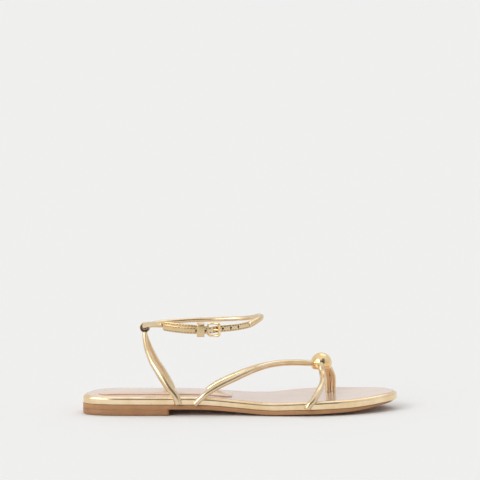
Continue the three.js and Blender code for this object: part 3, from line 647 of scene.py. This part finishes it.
# Ankle ring: turns in degrees from the centre back, plus on the outer side, with the height as
# a share of the ankle height and, for the rolled part, the width as a share of its own
ROLLED_PART = table("""
-217 1.035 1.12
-200 1.072 1.08
-180 1.09  1
-165 1.083 0.92
-150 1.056 0.84
-129 1.026 0.8
-108 1.008 0.8
-90  1     0.8
-65  0.99  0.84
-45  0.98  0.95
-25  0.972 1
-12  0.967 0.98
0    0.973 0.94
12   1.002 0.98
25   1.024 1
47   1.041 1
""")
BUCKLE_SIDE = table("""
47 1.041
61 1.034
77 1.02
96 0.998
""")
HOLED_SIDE = table("""
48  1.016
61  1.003
77  0.991
88  0.989
96  0.996
109 1.006
125 1.016
143 1.035
""")
RING_MIDDLE = (ANKLE_BACK + ANKLE_FRONT) / 2
RING_REACH = (ANKLE_FRONT - ANKLE_BACK) / 2
PIVOT, FRONT_BAR, KEEPER = 99.8, 108.4, 94.0
PIVOT_WIRE, SIDE_WIRE, FRONT_WIRE, PRONG = 1.6, 1.9, 2.6, 1.2
FRAME_HEIGHT, FRONT_OFF = 11.6, 2.1
EYE = PIVOT_WIRE / 2 + JOINT + PRONG
OVER_EYE = EYE + JOINT + FLAT_THICK / 2
ON_STRAP = DOUBLE_THICK / 2 + JOINT + FLAT_THICK / 2
HOLED_OFF = np.array([
    [0, ON_STRAP],
    [PIVOT - EYE - 7, ON_STRAP],
    [PIVOT - EYE, OVER_EYE],
    [PIVOT + EYE / 2, OVER_EYE],
    [FRONT_BAR - FRONT_WIRE / 2, 0],
    [FRONT_BAR, FRONT_OFF - FRONT_WIRE / 2 - JOINT - FLAT_THICK / 2],
    [FRONT_BAR + FRONT_WIRE * 2, 0],
    [SOLE_LENGTH, 0],
])


def turn_at(x):
    return math.degrees(math.acos((RING_MIDDLE - x) / RING_REACH))


def outward_at(turn):
    angle = np.radians(np.asarray(turn, float))
    out = np.stack([-np.cos(angle) / RING_REACH, -np.sin(angle) / (RING_WIDTH / 2), 0 * angle], -1)
    return out / np.linalg.norm(out, axis=-1, keepdims=True)


def ring_place(turn, height, off):
    """Place on the ankle ring's ellipse at a turn and height, moved outwards by off."""
    angle = np.radians(np.asarray(turn, float))
    place = np.stack(np.broadcast_arrays(
        RING_MIDDLE - RING_REACH * np.cos(angle), -RING_WIDTH / 2 * np.sin(angle), height), -1)
    return place + outward_at(turn) * np.asarray(off, float)[..., None]


def holed_place(turn):
    x = RING_MIDDLE - RING_REACH * np.cos(np.radians(turn))
    return ring_place(turn, ANKLE_HEIGHT * between(HOLED_SIDE, 1, turn), between(HOLED_OFF, 1, x))


BUCKLE_HEIGHT = ANKLE_HEIGHT * float(
    between(HOLED_SIDE, 1, (turn_at(PIVOT) + turn_at(FRONT_BAR)) / 2))


def flat_profile(thick, high, corners=5):
    """Rounded rectangle as lengths off and up, its edges rounded by under half the thickness."""
    a, b = thick / 2, high / 2
    r = 0.8 * a
    turn = np.radians(np.linspace(0, 90, corners))
    right = np.stack([a - r + r * np.cos(turn), b - r + r * np.sin(turn)], 1)
    top = np.concatenate([right, [[-v[0], v[1]] for v in right[::-1]]])
    return np.concatenate([top, -top])


def flat_strap(name, place, turns, thick, high, narrow=None):
    """Flat strap: the rounded rectangle carried along the ring, less high by the shares given."""
    full = np.ones(len(turns))
    size = full if narrow is None else narrow
    sections = flat_profile(thick, high)[None] * np.stack([full, size], -1)[:, None, :]
    return carried(name, place(turns), sections, UPRIGHT)


def buckle_frame():
    """Buckle: one closed wire round four rounded corners, thin at the pivot and wide in front."""
    half = (FRAME_HEIGHT - SIDE_WIRE) / 2
    corner = 1.7
    turns = (turn_at(PIVOT), turn_at(FRONT_BAR))
    ends = [ring_place(turns[0], BUCKLE_HEIGHT, 0.0), ring_place(turns[1], BUCKLE_HEIGHT, FRONT_OFF)]
    forward = ends[1] - ends[0]
    length = np.linalg.norm(forward)
    forward /= length
    quarter = np.radians(np.linspace(0, 90, 9))
    arc = np.stack([np.sin(quarter), 1 - np.cos(quarter)], 1) * corner
    # Going round: along the pivot upwards, forwards on top, down the front bar and back below
    sides = [
        np.stack([np.zeros(8), np.linspace(-half + corner, half - corner, 8)], 1),
        np.stack([arc[:, 1], half - corner + arc[:, 0]], 1),
        np.stack([np.linspace(corner, length - corner, 10), np.full(10, half)], 1),
        np.stack([length - corner + arc[:, 0], half - arc[:, 1]], 1),
        np.stack([np.full(8, length), np.linspace(half - corner, -half + corner, 8)], 1),
        np.stack([length - arc[:, 1], -half + corner - arc[:, 0]], 1),
        np.stack([np.linspace(length - corner, corner, 10), np.full(10, -half)], 1),
        np.stack([corner - arc[:, 0], -half + arc[:, 1]], 1),
    ]
    plan = np.concatenate(sides)
    plan = plan[np.linalg.norm(plan - np.roll(plan, 1, 0), axis=1) > 1e-4]
    way = ends[0] + plan[:, :1] * forward + plan[:, 1:] * np.array(UPRIGHT)
    front = smoothstep(plan[:, 0], length * 0.55, length)
    thin = 1 - smoothstep(plan[:, 0], 0.0, corner * 1.2)
    out = SIDE_WIRE / 2 + (FRONT_WIRE - SIDE_WIRE) / 2 * front + (PIVOT_WIRE - SIDE_WIRE) / 2 * thin
    wide = out + 0.35 * front
    angle = 2 * np.pi * np.arange(20) / 20
    sections = np.stack([out[:, None] * np.cos(angle) * 0.9, wide[:, None] * np.sin(angle)], -1)
    normal = np.cross(forward, UPRIGHT)
    return way, sections, normal


def prong_way():
    hinge = PIVOT_WIRE / 2 + JOINT + PRONG / 2
    rest = FRONT_OFF + FRONT_WIRE / 2 + JOINT + PRONG / 2
    rows = table("""
    0    0
    0.25 0.08
    0.6  0.45
    0.88 1
    1.02 1
    1.14 0.82
    """)
    points = [ring_place(turn_at(PIVOT + (FRONT_BAR - PIVOT) * reach), BUCKLE_HEIGHT,
                         hinge + (rest - hinge) * rise) for reach, rise in rows]
    return spline(np.array(points), spacing=0.35), hinge


def torus(name, centre, radius, wire, axis, sides=20, count=64, flat=1.0):
    """Wire ring: a circle carried round a circle about an axis through its centre."""
    axis = np.array(axis, float)
    first = np.cross(axis, UPRIGHT if abs(axis[2]) < 0.9 else FORWARD)
    first /= np.linalg.norm(first)
    second = np.cross(axis, first)
    angle = 2 * np.pi * np.arange(count)[:, None] / count
    way = np.array(centre) + radius * (np.cos(angle) * first + np.sin(angle) * second)
    turn = 2 * np.pi * np.arange(sides) / sides
    ring = np.stack([wire / 2 * np.cos(turn), wire / 2 * flat * np.sin(turn)], -1)
    return carried(name, way, np.broadcast_to(ring, (count, sides, 2)), axis, closed=True)


def lathe(name, profile_rows, centre, axis, sides=64):
    """Profile of (length along the axis, radius) rows turned about the axis, with closed poles
    where the radius is zero."""
    axis = np.array(axis, float)
    first = np.cross(axis, UPRIGHT if abs(axis[2]) < 0.9 else FORWARD)
    first /= np.linalg.norm(first)
    second = np.cross(axis, first)
    rows = np.array(profile_rows, float)
    poles = [rows[0, 1] == 0, rows[-1, 1] == 0]
    body = rows[1 if poles[0] else 0:len(rows) - 1 if poles[1] else len(rows)]
    angle = 2 * np.pi * np.arange(sides) / sides
    round_ = np.cos(angle)[:, None] * first + np.sin(angle)[:, None] * second
    rings = np.array(centre) + body[:, None, :1] * axis + body[:, None, 1:] * round_[None]
    points = rings.reshape(-1, 3)
    closed = not any(poles)
    faces = tube_faces(len(body), sides, closed=closed).tolist()
    i = np.arange(sides)
    if poles[0]:
        faces += np.stack([(i + 1) % sides, i, np.full(sides, len(points))], 1).tolist()
        points = np.vstack([points, np.array(centre) + rows[0, 0] * axis])
    if poles[1]:
        tail = (len(body) - 1) * sides
        faces += np.stack([tail + i, tail + (i + 1) % sides, np.full(sides, len(points))], 1).tolist()
        points = np.vstack([points, np.array(centre) + rows[-1, 0] * axis])
    return mesh_of(name, points, faces)


def stitches(place, turns, off, up, length=1.35, wire=0.74):
    """A row of thread ends: each is a short pod, round across and pointed at both ends, laid
    along the strap at its own turn, off its middle by off and up."""
    middle = place(turns)
    along = place(turns + 0.3) - place(turns - 0.3)
    along /= np.linalg.norm(along, axis=1)[:, None]
    side = np.cross(along, UPRIGHT)
    side /= np.linalg.norm(side, axis=1)[:, None]
    high = np.cross(side, along)
    middle = middle + side * off + high * up
    share = np.array([-0.46, -0.3, 0.0, 0.3, 0.46])
    fat = np.array([0.35, 0.85, 1.0, 0.85, 0.35]) * wire / 2
    rings, sides = len(share), 6
    angle = 2 * np.pi * np.arange(sides) / sides
    pods = (middle[:, None, None] + along[:, None, None] * (share * length)[None, :, None, None]
            + side[:, None, None] * (fat[:, None] * np.cos(angle))[None, :, :, None]
            + high[:, None, None] * (fat[:, None] * np.sin(angle))[None, :, :, None])
    tips = middle[:, None] + along[:, None] * np.array([-0.5, 0.5])[None, :, None] * length
    count, start, last = len(turns), rings * sides, (rings - 1) * sides
    points = np.concatenate([pods.reshape(count, -1, 3), tips], 1)
    i = np.arange(sides)
    ends = np.concatenate([
        np.stack([i, (i + 1) % sides, np.full(sides, start)], 1),
        np.stack([last + (i + 1) % sides, last + i, np.full(sides, start + 1)], 1),
    ])
    first = (points.shape[1] * np.arange(count))[:, None, None]
    quads = (tube_faces(rings, sides)[None, :, ::-1] + first).reshape(-1, 4)
    return points.reshape(-1, 3), quads, (ends[None] + first).reshape(-1, 3)


def drilled(piece, centres, directions, width, depth=4.0):
    """Round holes through a piece, cut along each direction."""
    for centre, direction in zip(centres, directions):
        tool = lathe("hole_tool", [[-depth / 2, 0], [-depth / 2, width / 2], [depth / 2, width / 2],
                                   [depth / 2, 0]], centre, direction, sides=20)
        change = piece.modifiers.new("hole", "BOOLEAN")
        change.operation, change.solver, change.object = "DIFFERENCE", "EXACT", tool
        bpy.context.view_layer.objects.active = piece
        bpy.ops.object.modifier_apply(modifier=change.name)
        bpy.data.objects.remove(tool)


def ball_piece():
    """Ball with a flat underside, its lower edge a small round that meets both smoothly."""
    edge = 1.1
    low = BALL_BASE - edge
    aside = math.sqrt((BALL_RADIUS - edge) ** 2 - low ** 2)
    meet = math.atan2(aside, -low)
    turn = np.linspace(math.pi, meet, 10)
    lower = np.stack([edge * np.cos(turn) - low, edge * np.sin(turn) + aside], 1)
    turn = np.linspace(meet, 0, 60)[1:-1]
    upper = BALL_RADIUS * np.stack([np.cos(turn), np.sin(turn)], 1)
    rows = np.concatenate([[(-BALL_BASE, 0)], lower, upper, [(BALL_RADIUS, 0)]])
    return lathe("gold_ball", rows, BALL, UPRIGHT, 96)


def keeper_piece():
    """Keeper: a band carried round a rounded rectangle about the strap, its outer face bowed
    outwards between its upper and lower corners."""
    thick, tall, wide, corner, swell = 1.1, 11.1, 6.0, 1.3, 0.28
    low = -DOUBLE_THICK / 2 - JOINT - thick / 2
    high = OVER_EYE + FLAT_THICK / 2 + thick / 2
    half = (tall - thick) / 2
    turn = turn_at(KEEPER)
    out, middle = outward_at(turn), ring_place(turn, BUCKLE_HEIGHT, 0.0)
    q = np.radians(np.linspace(0, 90, 8))
    arc = np.stack([np.sin(q), 1 - np.cos(q)], 1) * corner
    straight = np.linspace(-half + corner, half - corner, 14)[1:-1]
    flat = np.linspace(high - corner, low + corner, 5)[1:-1]
    plan = np.concatenate([
        np.stack([np.full(12, high), straight], 1),
        np.stack([high - arc[:, 1], half - corner + arc[:, 0]], 1),
        np.stack([flat, np.full(3, half)], 1),
        np.stack([low + corner - arc[:, 0], half - arc[:, 1]], 1),
        np.stack([np.full(12, low), straight[::-1]], 1),
        np.stack([low + arc[:, 1], -half + corner - arc[:, 0]], 1),
        np.stack([flat[::-1], np.full(3, -half)], 1),
        np.stack([high - corner + arc[:, 0], -half + arc[:, 1]], 1),
    ])
    bow = swell * (1 - (plan[:, 1] / half) ** 2) * smoothstep(plan[:, 0], high - 1.0, high)
    way = middle + (plan[:, :1] + bow[:, None]) * out + plan[:, 1:] * np.array(UPRIGHT)
    section = flat_profile(thick, wide, 4)
    sections = np.broadcast_to(section, (len(way), *section.shape))
    return carried("strap_keeper", way, sections, np.cross(out, UPRIGHT), closed=True)


# Materials
class Socket:
    """One socket of a recipe. Sums on sockets add their Math nodes."""

    def __init__(self, recipe, socket):
        self.recipe, self.socket = recipe, socket

    def sum(self, operation, first, second):
        return self.recipe.node("Math", {"operation": operation}, **{"0": first, "1": second})

    def __add__(self, other):
        return self.sum("ADD", self, other)

    def __sub__(self, other):
        return self.sum("SUBTRACT", self, other)

    def __rsub__(self, other):
        return self.sum("SUBTRACT", other, self)

    def __mul__(self, other):
        return self.sum("MULTIPLY", self, other)

    __radd__, __rmul__ = __add__, __mul__

    def step(self, low, high):
        """0 at low and 1 at high, with an even S between."""
        return self.recipe.node("MapRange", {"interpolation_type": "SMOOTHSTEP"}, **{
            "Value": self, "From Min": low, "From Max": high})


class Recipe:
    """The nodes of one material or of the world, all made by node()."""

    def __init__(self, owner):
        owner.use_nodes = True
        self.owner, self.tree = owner, owner.node_tree
        self.tree.nodes.clear()

    def node(self, kind, settings=None, output=0, **inputs):
        made = self.tree.nodes.new("ShaderNode" + kind)
        for key, value in (settings or {}).items():
            setattr(made, key, value)
        for key, value in inputs.items():
            socket = made.inputs[int(key) if key.isdigit() else key]
            if isinstance(value, Socket):
                self.tree.links.new(value.socket, socket)
            else:
                socket.default_value = value
        return Socket(self, made.outputs[output]) if made.outputs else None

    def mixed(self, first, second, share):
        """A colour between two colours."""
        return self.node("Mix", {"data_type": "RGBA"}, 2, **{"0": share, "6": first, "7": second})

    def place(self, uv=False, scale=(1, 1, 1), turn=0.0):
        """Where on the piece: its own object coordinates or its UV map, stretched by scale."""
        where = self.node("TexCoord", output="UV" if uv else "Object")
        return self.node("Mapping", Vector=where, Scale=scale, Rotation=(0, 0, turn))

    def noise(self, where, scale, detail=3.0, rough=0.5, distortion=0.0):
        return self.node("TexNoise", Vector=where, Scale=scale, Detail=detail, Roughness=rough,
                         Distortion=distortion)

    def bump(self, height, distance, strength=1.0, normal=None):
        extra = {} if normal is None else {"Normal": normal}
        return self.node("Bump", Height=height, Distance=distance, Strength=strength, **extra)

    def surface(self, **inputs):
        """The finished surface: one Principled shader with these inputs."""
        shader = self.node("BsdfPrincipled", **{k.replace("_", " "): v for k, v in inputs.items()})
        self.node("OutputMaterial", Surface=shader)
        return self.owner


def material(name):
    return Recipe(bpy.data.materials.new(name))


def gold_leather(name, uv, colour=(0.83, 0.67, 0.45, 1), rough=0.15, crease=1.0):
    """Pale gold foil on leather: fine grain, soft creases across rolled straps, small worn
    flecks where the foil is duller, and a slow drift of colour."""
    r = material(name)
    where = r.place()
    grain = r.noise(where, 5200.0, 2.0, 0.6)
    pores = r.node("TexVoronoi", {"feature": "DISTANCE_TO_EDGE"}, Vector=where, Scale=2600.0)
    drift = r.noise(where, 70.0, 3.0)
    fleck = r.noise(where, 900.0, 4.0, 0.7).step(0.62, 0.72)
    normal = r.bump(grain * 0.6 + pores.step(0.0, 0.3) * 0.4, 0.000012, 0.5)
    if uv:
        across = r.noise(r.place(True, (1.5, 0.75, 1)), 1.0, 3.0, 0.55, 0.4)
        fine = r.noise(r.place(True, (3.0, 3.2, 1)), 1.0, 2.0, 0.5)
        normal = r.bump(across * 0.8 + fine * 0.2, 0.00012 * crease, 0.55, normal)
    deep = (colour[0] * 0.9, colour[1] * 0.84, colour[2] * 0.72, 1)
    tone = r.mixed(colour, deep, drift.step(0.35, 0.7))
    tone = r.mixed(tone, (0.72, 0.62, 0.47, 1), fleck * 0.25)
    return r.surface(Base_Color=tone, Metallic=0.92 - fleck * 0.2,
                     Roughness=rough + drift * 0.08 + fleck * 0.12,
                     Coat_Weight=0.25, Coat_Roughness=0.08, Normal=normal)


def gold_metal(name, colour=(0.93, 0.71, 0.39, 1), rough=0.07):
    """Polished plated metal with faint polishing marks and slight cloudiness."""
    r = material(name)
    where = r.place()
    cloud = r.noise(where, 160.0, 3.0)
    marks = r.noise(r.place(False, (1, 1, 9)), 1500.0, 2.0, 0.6)
    normal = r.bump(marks, 0.000004, 0.35)
    tone = r.mixed(colour, (0.86, 0.6, 0.29, 1), cloud.step(0.4, 0.75))
    return r.surface(Base_Color=tone, Metallic=1.0, Roughness=rough + cloud * 0.07, Normal=normal)


def nude_lining(name, colour, rough=0.3):
    """Smooth coated lining: faint grain and pores under a clear half gloss coat."""
    r = material(name)
    where = r.place()
    grain = r.noise(where, 3600.0, 3.0, 0.6)
    drift = r.noise(where, 45.0, 3.0)
    pores = r.node("TexVoronoi", {"feature": "DISTANCE_TO_EDGE"}, Vector=where, Scale=1700.0)
    normal = r.bump(grain * 0.5 + pores.step(0.0, 0.25) * 0.5, 0.000014, 0.4)
    deep = (colour[0] * 0.93, colour[1] * 0.88, colour[2] * 0.84, 1)
    tone = r.mixed(colour, deep, drift.step(0.3, 0.75) * 0.7 + grain * 0.15)
    return r.surface(Base_Color=tone, Roughness=rough + drift * 0.1, Coat_Weight=1.0,
                     Coat_Roughness=0.05, Normal=normal)


def tan_sole(name, colour=(0.47, 0.245, 0.11, 1)):
    """Painted tan sole edge: fine layers along the side, soft mottling and a dull sheen."""
    r = material(name)
    where = r.place()
    layers = r.noise(r.place(False, (0.02, 0.02, 1)), 2600.0, 2.0)
    mottle = r.noise(where, 130.0, 4.0, 0.6)
    grain = r.noise(where, 4200.0, 2.0, 0.6)
    normal = r.bump(layers * 0.5 + grain * 0.5, 0.00003, 0.4)
    dark = (colour[0] * 0.8, colour[1] * 0.72, colour[2] * 0.66, 1)
    tone = r.mixed(colour, dark, mottle.step(0.3, 0.75) * 0.5 + layers.step(0.45, 0.8) * 0.3)
    return r.surface(Base_Color=tone, Roughness=0.42 + mottle * 0.18, Normal=normal)


def thread(name, colour):
    """Waxed thread with fine twisted strands; also used near-black as painted shade inside the heel
    loop and the strap's holes.
    """
    r = material(name)
    twist = r.noise(r.place(turn=0.6), 6000.0, 2.0)
    tone = r.mixed(colour, (colour[0] * 0.55, colour[1] * 0.5, colour[2] * 0.42, 1), twist)
    return r.surface(Base_Color=tone, Roughness=0.45 + r.noise(r.place(), 900.0) * 0.2,
                     Normal=r.bump(twist, 0.00003, 0.6))


# Pieces
def wear(piece, finish, slot, *nodes):
    """Gives a piece its finish, its body and the CAD nodes it stands for; the slot is not used."""
    piece.data.materials.clear()
    piece.data.materials.append(finish)
    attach(piece, "root")
    if nodes:
        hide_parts(*nodes)
    return piece


strap_foil = gold_leather("gold_foil_rolled_strap", True)
flat_foil = gold_leather("gold_foil_flat_strap", True, colour=(0.8, 0.62, 0.38, 1), rough=0.2,
                         crease=1.4)
rim_foil = gold_leather("gold_foil_footbed_wrap", False, colour=(0.97, 0.78, 0.53, 1), rough=0.1)
plating = gold_metal("gold_plating")
lining = nude_lining("nude_lining_finish", colour=(0.81, 0.59, 0.465, 1))
patch = nude_lining("nude_patch_finish", colour=(0.83, 0.62, 0.49, 1), rough=0.36)
sole_tan = tan_sole("tan_sole_finish")
lift_tan = tan_sole("tan_lift_finish", colour=(0.4, 0.2, 0.088, 1))
waxed = thread("waxed_thread_finish", colour=(0.2, 0.115, 0.05, 1))
# Near-black painted shade, for the dark inside of the heel loop and of the strap's holes
painted_shade_dark = thread("painted_shade_dark_finish", colour=(0.09, 0.05, 0.025, 1))

loop = outline_loop(150)
wear(outsole_piece(loop), sole_tan, "tan_sole", "outsole")
wear(lift_piece(loop), lift_tan, "tan_sole", "heel_lift")
wear(footbed_piece(loop), rim_foil, "gold_leather", "footbed")
wear(sock_piece(loop), lining, "nude_sock", "sock")
heel_patch = wear(pad_piece(), patch, "nude_sock", "heel_pad")

for side in ("outer", "inner"):
    for kind, strap, upright in (("heel", heel_strap, FORWARD), ("vamp", vamp_strap, UPRIGHT)):
        way, width = strap(side)
        keep = above_joint(way)
        wear(rolled(kind + "_strap_" + side, keep, width[-len(keep):], upright), strap_foil,
             "gold_leather", kind + "_straps")
wear(torus("heel_loop", (ANKLE_BACK + LOOP_OUT, 0, LOOP_HEIGHT), LOOP_RADIUS, LOOP_THICK, SIDEWAYS,
           flat=LOOP_WIDE / LOOP_THICK), strap_foil, "gold_leather", "heel_straps")
# Dark sleeve inside the loop, painted shade for the loop's shaded inside: half a section of the
# sleeve, then the same turned over
sleeve = [(-1.5, 2.35), (-1.6, 2.5), (-1.55, 3.4)]
sleeve += [(-off, radius) for off, radius in sleeve[::-1]]
wear(lathe("heel_loop_painted_shade_sleeve", sleeve, (ANKLE_BACK + 0.1, 0, LOOP_HEIGHT + 0.25), SIDEWAYS, 48),
     painted_shade_dark, "gold_leather")
wear(rolled("outer_toe_strap", above_joint(toe_strap()), TOE_STRAP, FORWARD), strap_foil,
     "gold_leather", "toe_straps")
for back, word in ((True, "back"), (False, "front")):
    wear(rolled("toe_post_" + word, above_joint(post_strand(back)), POST_STRAND, SIDEWAYS),
         strap_foil, "gold_leather", "toe_straps")

ankle_turns = np.linspace(*ROLLED_PART[[0, -1], 0], 300)
ankle_way = ring_place(ankle_turns, ANKLE_HEIGHT * between(ROLLED_PART, 1, ankle_turns), 0.0)
wear(rolled("rolled_ankle_strap", ankle_way, ANKLE_STRAP * between(ROLLED_PART, 2, ankle_turns),
            UPRIGHT, rounded_ends=0.6), strap_foil, "gold_leather", "ankle_strap")

buckle_place = lambda t: ring_place(t, ANKLE_HEIGHT * between(BUCKLE_SIDE, 1, t), 0.0)
wear(flat_strap("buckle_strap_doubled", buckle_place, np.linspace(47.7, turn_at(PIVOT) - 1, 90),
                DOUBLE_THICK, FLAT_HEIGHT), flat_foil, "gold_leather", "buckle_strap")
# The holed strap narrows over the first three degrees, at its tip
holed_turns = np.linspace(49, 142.3, 240)
tip = 1 - 0.45 * np.maximum(0, 1 - (holed_turns - holed_turns[0]) / 3) ** 2
holed = flat_strap("punched_strap", holed_place, holed_turns, FLAT_THICK, FLAT_HEIGHT, tip)
pitch = math.degrees(HOLE_PITCH / RING_REACH)
hole_turns = turn_at(FRONT_BAR - FRONT_WIRE * 1.4) + np.array([-2, -1, 0, 1, 2, 3]) * pitch
drilled(holed, holed_place(hole_turns), outward_at(hole_turns), HOLE)
# Dark plug in every hole but the one that the prong is in, painted shade for the shade seen through
# the holes
deep, shallow, round_ = -0.5, 0.25, HOLE / 2 - 0.01
plug = [(deep, 0), (deep, round_), (shallow, round_), (shallow, 0)]
for number in (0, 1, 3, 4, 5):
    at = hole_turns[number]
    wear(lathe("hole_painted_shade_plug_%d" % number, plug, holed_place(at), outward_at(at), 20), painted_shade_dark,
         "gold_leather")
wear(holed, flat_foil, "gold_leather", "holed_strap")

way, sections, normal = buckle_frame()
wear(carried("buckle_frame_wire", way, sections, normal, closed=True), plating, "gold_metal",
     "buckle_frame")
way, hinge = prong_way()
wear(rolled("buckle_tongue", way, PRONG * (1 - 0.25 * smoothstep(np.linspace(0, 1, len(way)), 0.8, 1)),
            UPRIGHT, sides=14, rounded_ends=0.4), plating, "gold_metal", "buckle_prong")
wear(torus("buckle_tongue_eye", ring_place(turn_at(PIVOT), BUCKLE_HEIGHT, 0.0), hinge, PRONG,
           UPRIGHT, sides=14, count=36), plating, "gold_metal", "buckle_prong")
wear(ball_piece(), plating, "gold_metal", "ball")
wear(keeper_piece(), flat_foil, "gold_leather", "keeper")

points, faces, total = [], [], 0
for place, first, last, off in ((holed_place, 52, 141, FLAT_THICK / 2 + 0.02),
                                (buckle_place, 49.5, 88, DOUBLE_THICK / 2 + 0.02)):
    turns = np.arange(first, last, STITCH_TURN)
    for up in (-1, 1):
        row, quads, ends = stitches(place, turns, off, up * (FLAT_HEIGHT / 2 - STITCH_MARGIN))
        points.append(row)
        faces += (quads + total).tolist() + (ends + total).tolist()
        total += len(row)
wear(mesh_of("strap_stitching", np.concatenate(points), faces), waxed, "gold_leather")


# Studio
def studio():
    """Pale floor under an even sky, with a bright window at the left in front, a dark screen beside
    it, a darker panel above that, and two broad soft lights far off, so that the floor is as bright
    everywhere. Each patch of the sky is a product of soft steps in the direction's x, y and z."""
    size = 12.0
    data = bpy.data.meshes.new("studio_floor")
    data.from_pydata([(-size, -size, 0), (size, -size, 0), (size, size, 0), (-size, size, 0)], [],
                     [(0, 1, 2, 3)])
    floor = bpy.data.objects.new("studio_floor", data)
    bpy.context.scene.collection.objects.link(floor)
    floor.location.z = -0.0002
    pale = material("pale_floor").surface(Base_Color=(0.86, 0.86, 0.86, 1), Roughness=1.0)
    data.materials.append(pale)

    world = bpy.data.worlds.new("studio")
    bpy.context.scene.world = world
    w = Recipe(world)
    direction = w.node("TexCoord", output="Generated")
    xyz = w.tree.nodes.new("ShaderNodeSeparateXYZ")
    w.tree.links.new(direction.socket, xyz.inputs[0])
    x, y, z = (Socket(w, xyz.outputs[k]) for k in range(3))
    front = (y * -1).step(0.15, 0.5)
    low = z.step(0.44, 0.62) * -1 + 1
    window = (x * -1).step(0.22, 0.34) * z.step(0.12, 0.2) * (z.step(0.6, 0.7) * -1 + 1) * front
    screen = x.step(-0.28, -0.18) * (x.step(0.5, 0.7) * -1 + 1) * z.step(0.0, 0.04)
    screen = screen * (z.step(0.55, 0.68) * -1 + 1) * front
    panel = x.step(0.06, 0.12) * (x.step(0.5, 0.62) * -1 + 1) * (z.step(0.8, 0.9) * -1 + 1)
    panel = panel * z.step(0.55, 0.68) * front
    bright = 0.78 + z.step(0.6, 0.85) * 0.14 - front * low * 0.1 + window * 1.6
    bright = bright - screen * 0.56 - panel * 0.6
    colour = w.node("CombineColor", Red=bright, Green=bright * 0.995, Blue=bright * 0.985)
    lit = w.node("Background", Color=colour, Strength=1.0)
    seen = w.node("Background", Color=(0.871, 0.871, 0.871, 1), Strength=1.0)
    to_camera = w.node("LightPath", output="Is Camera Ray")
    shown = w.node("MixShader", **{"0": to_camera, "1": lit, "2": seen})
    w.node("OutputWorld", Surface=shown)

    for name, place, width, power in (("key_light", (-0.75, -0.7, 0.72), 24, 0.5),
                                      ("back_light", (0.3, 0.8, 1.4), 40, 0.2)):
        light = bpy.data.lights.new(name, "SUN")
        light.angle, light.energy = math.radians(width), power
        lamp = bpy.data.objects.new(name, light)
        bpy.context.scene.collection.objects.link(lamp)
        lamp.location = place
        lamp.rotation_euler = (Vector((0, 0, 0)) - Vector(place)).to_track_quat("-Z", "Y").to_euler()


def camera():
    """Camera level with the photograph's: the sandal seen from above by the angle look, from its
    outer side. The camera points down by less, which puts the sandal low in the frame."""
    distance, look, tilt, frame_width = 5.0, math.radians(8.7), math.radians(7.136), 0.384
    aim = Vector((-0.0003, SHIFT[1] / 1000, 0.0))
    data = bpy.data.cameras.new("camera")
    data.sensor_width = 36.0
    data.lens = data.sensor_width * distance * math.cos(look - tilt) / frame_width
    eye = bpy.data.objects.new("camera", data)
    eye.location = aim + Vector((0, -math.cos(look), math.sin(look))) * distance
    eye.rotation_euler = (math.pi / 2 - tilt, 0, 0)
    bpy.context.scene.collection.objects.link(eye)
    bpy.context.scene.camera = eye


studio()
camera()
bpy.context.scene.view_settings.view_transform = "Standard"
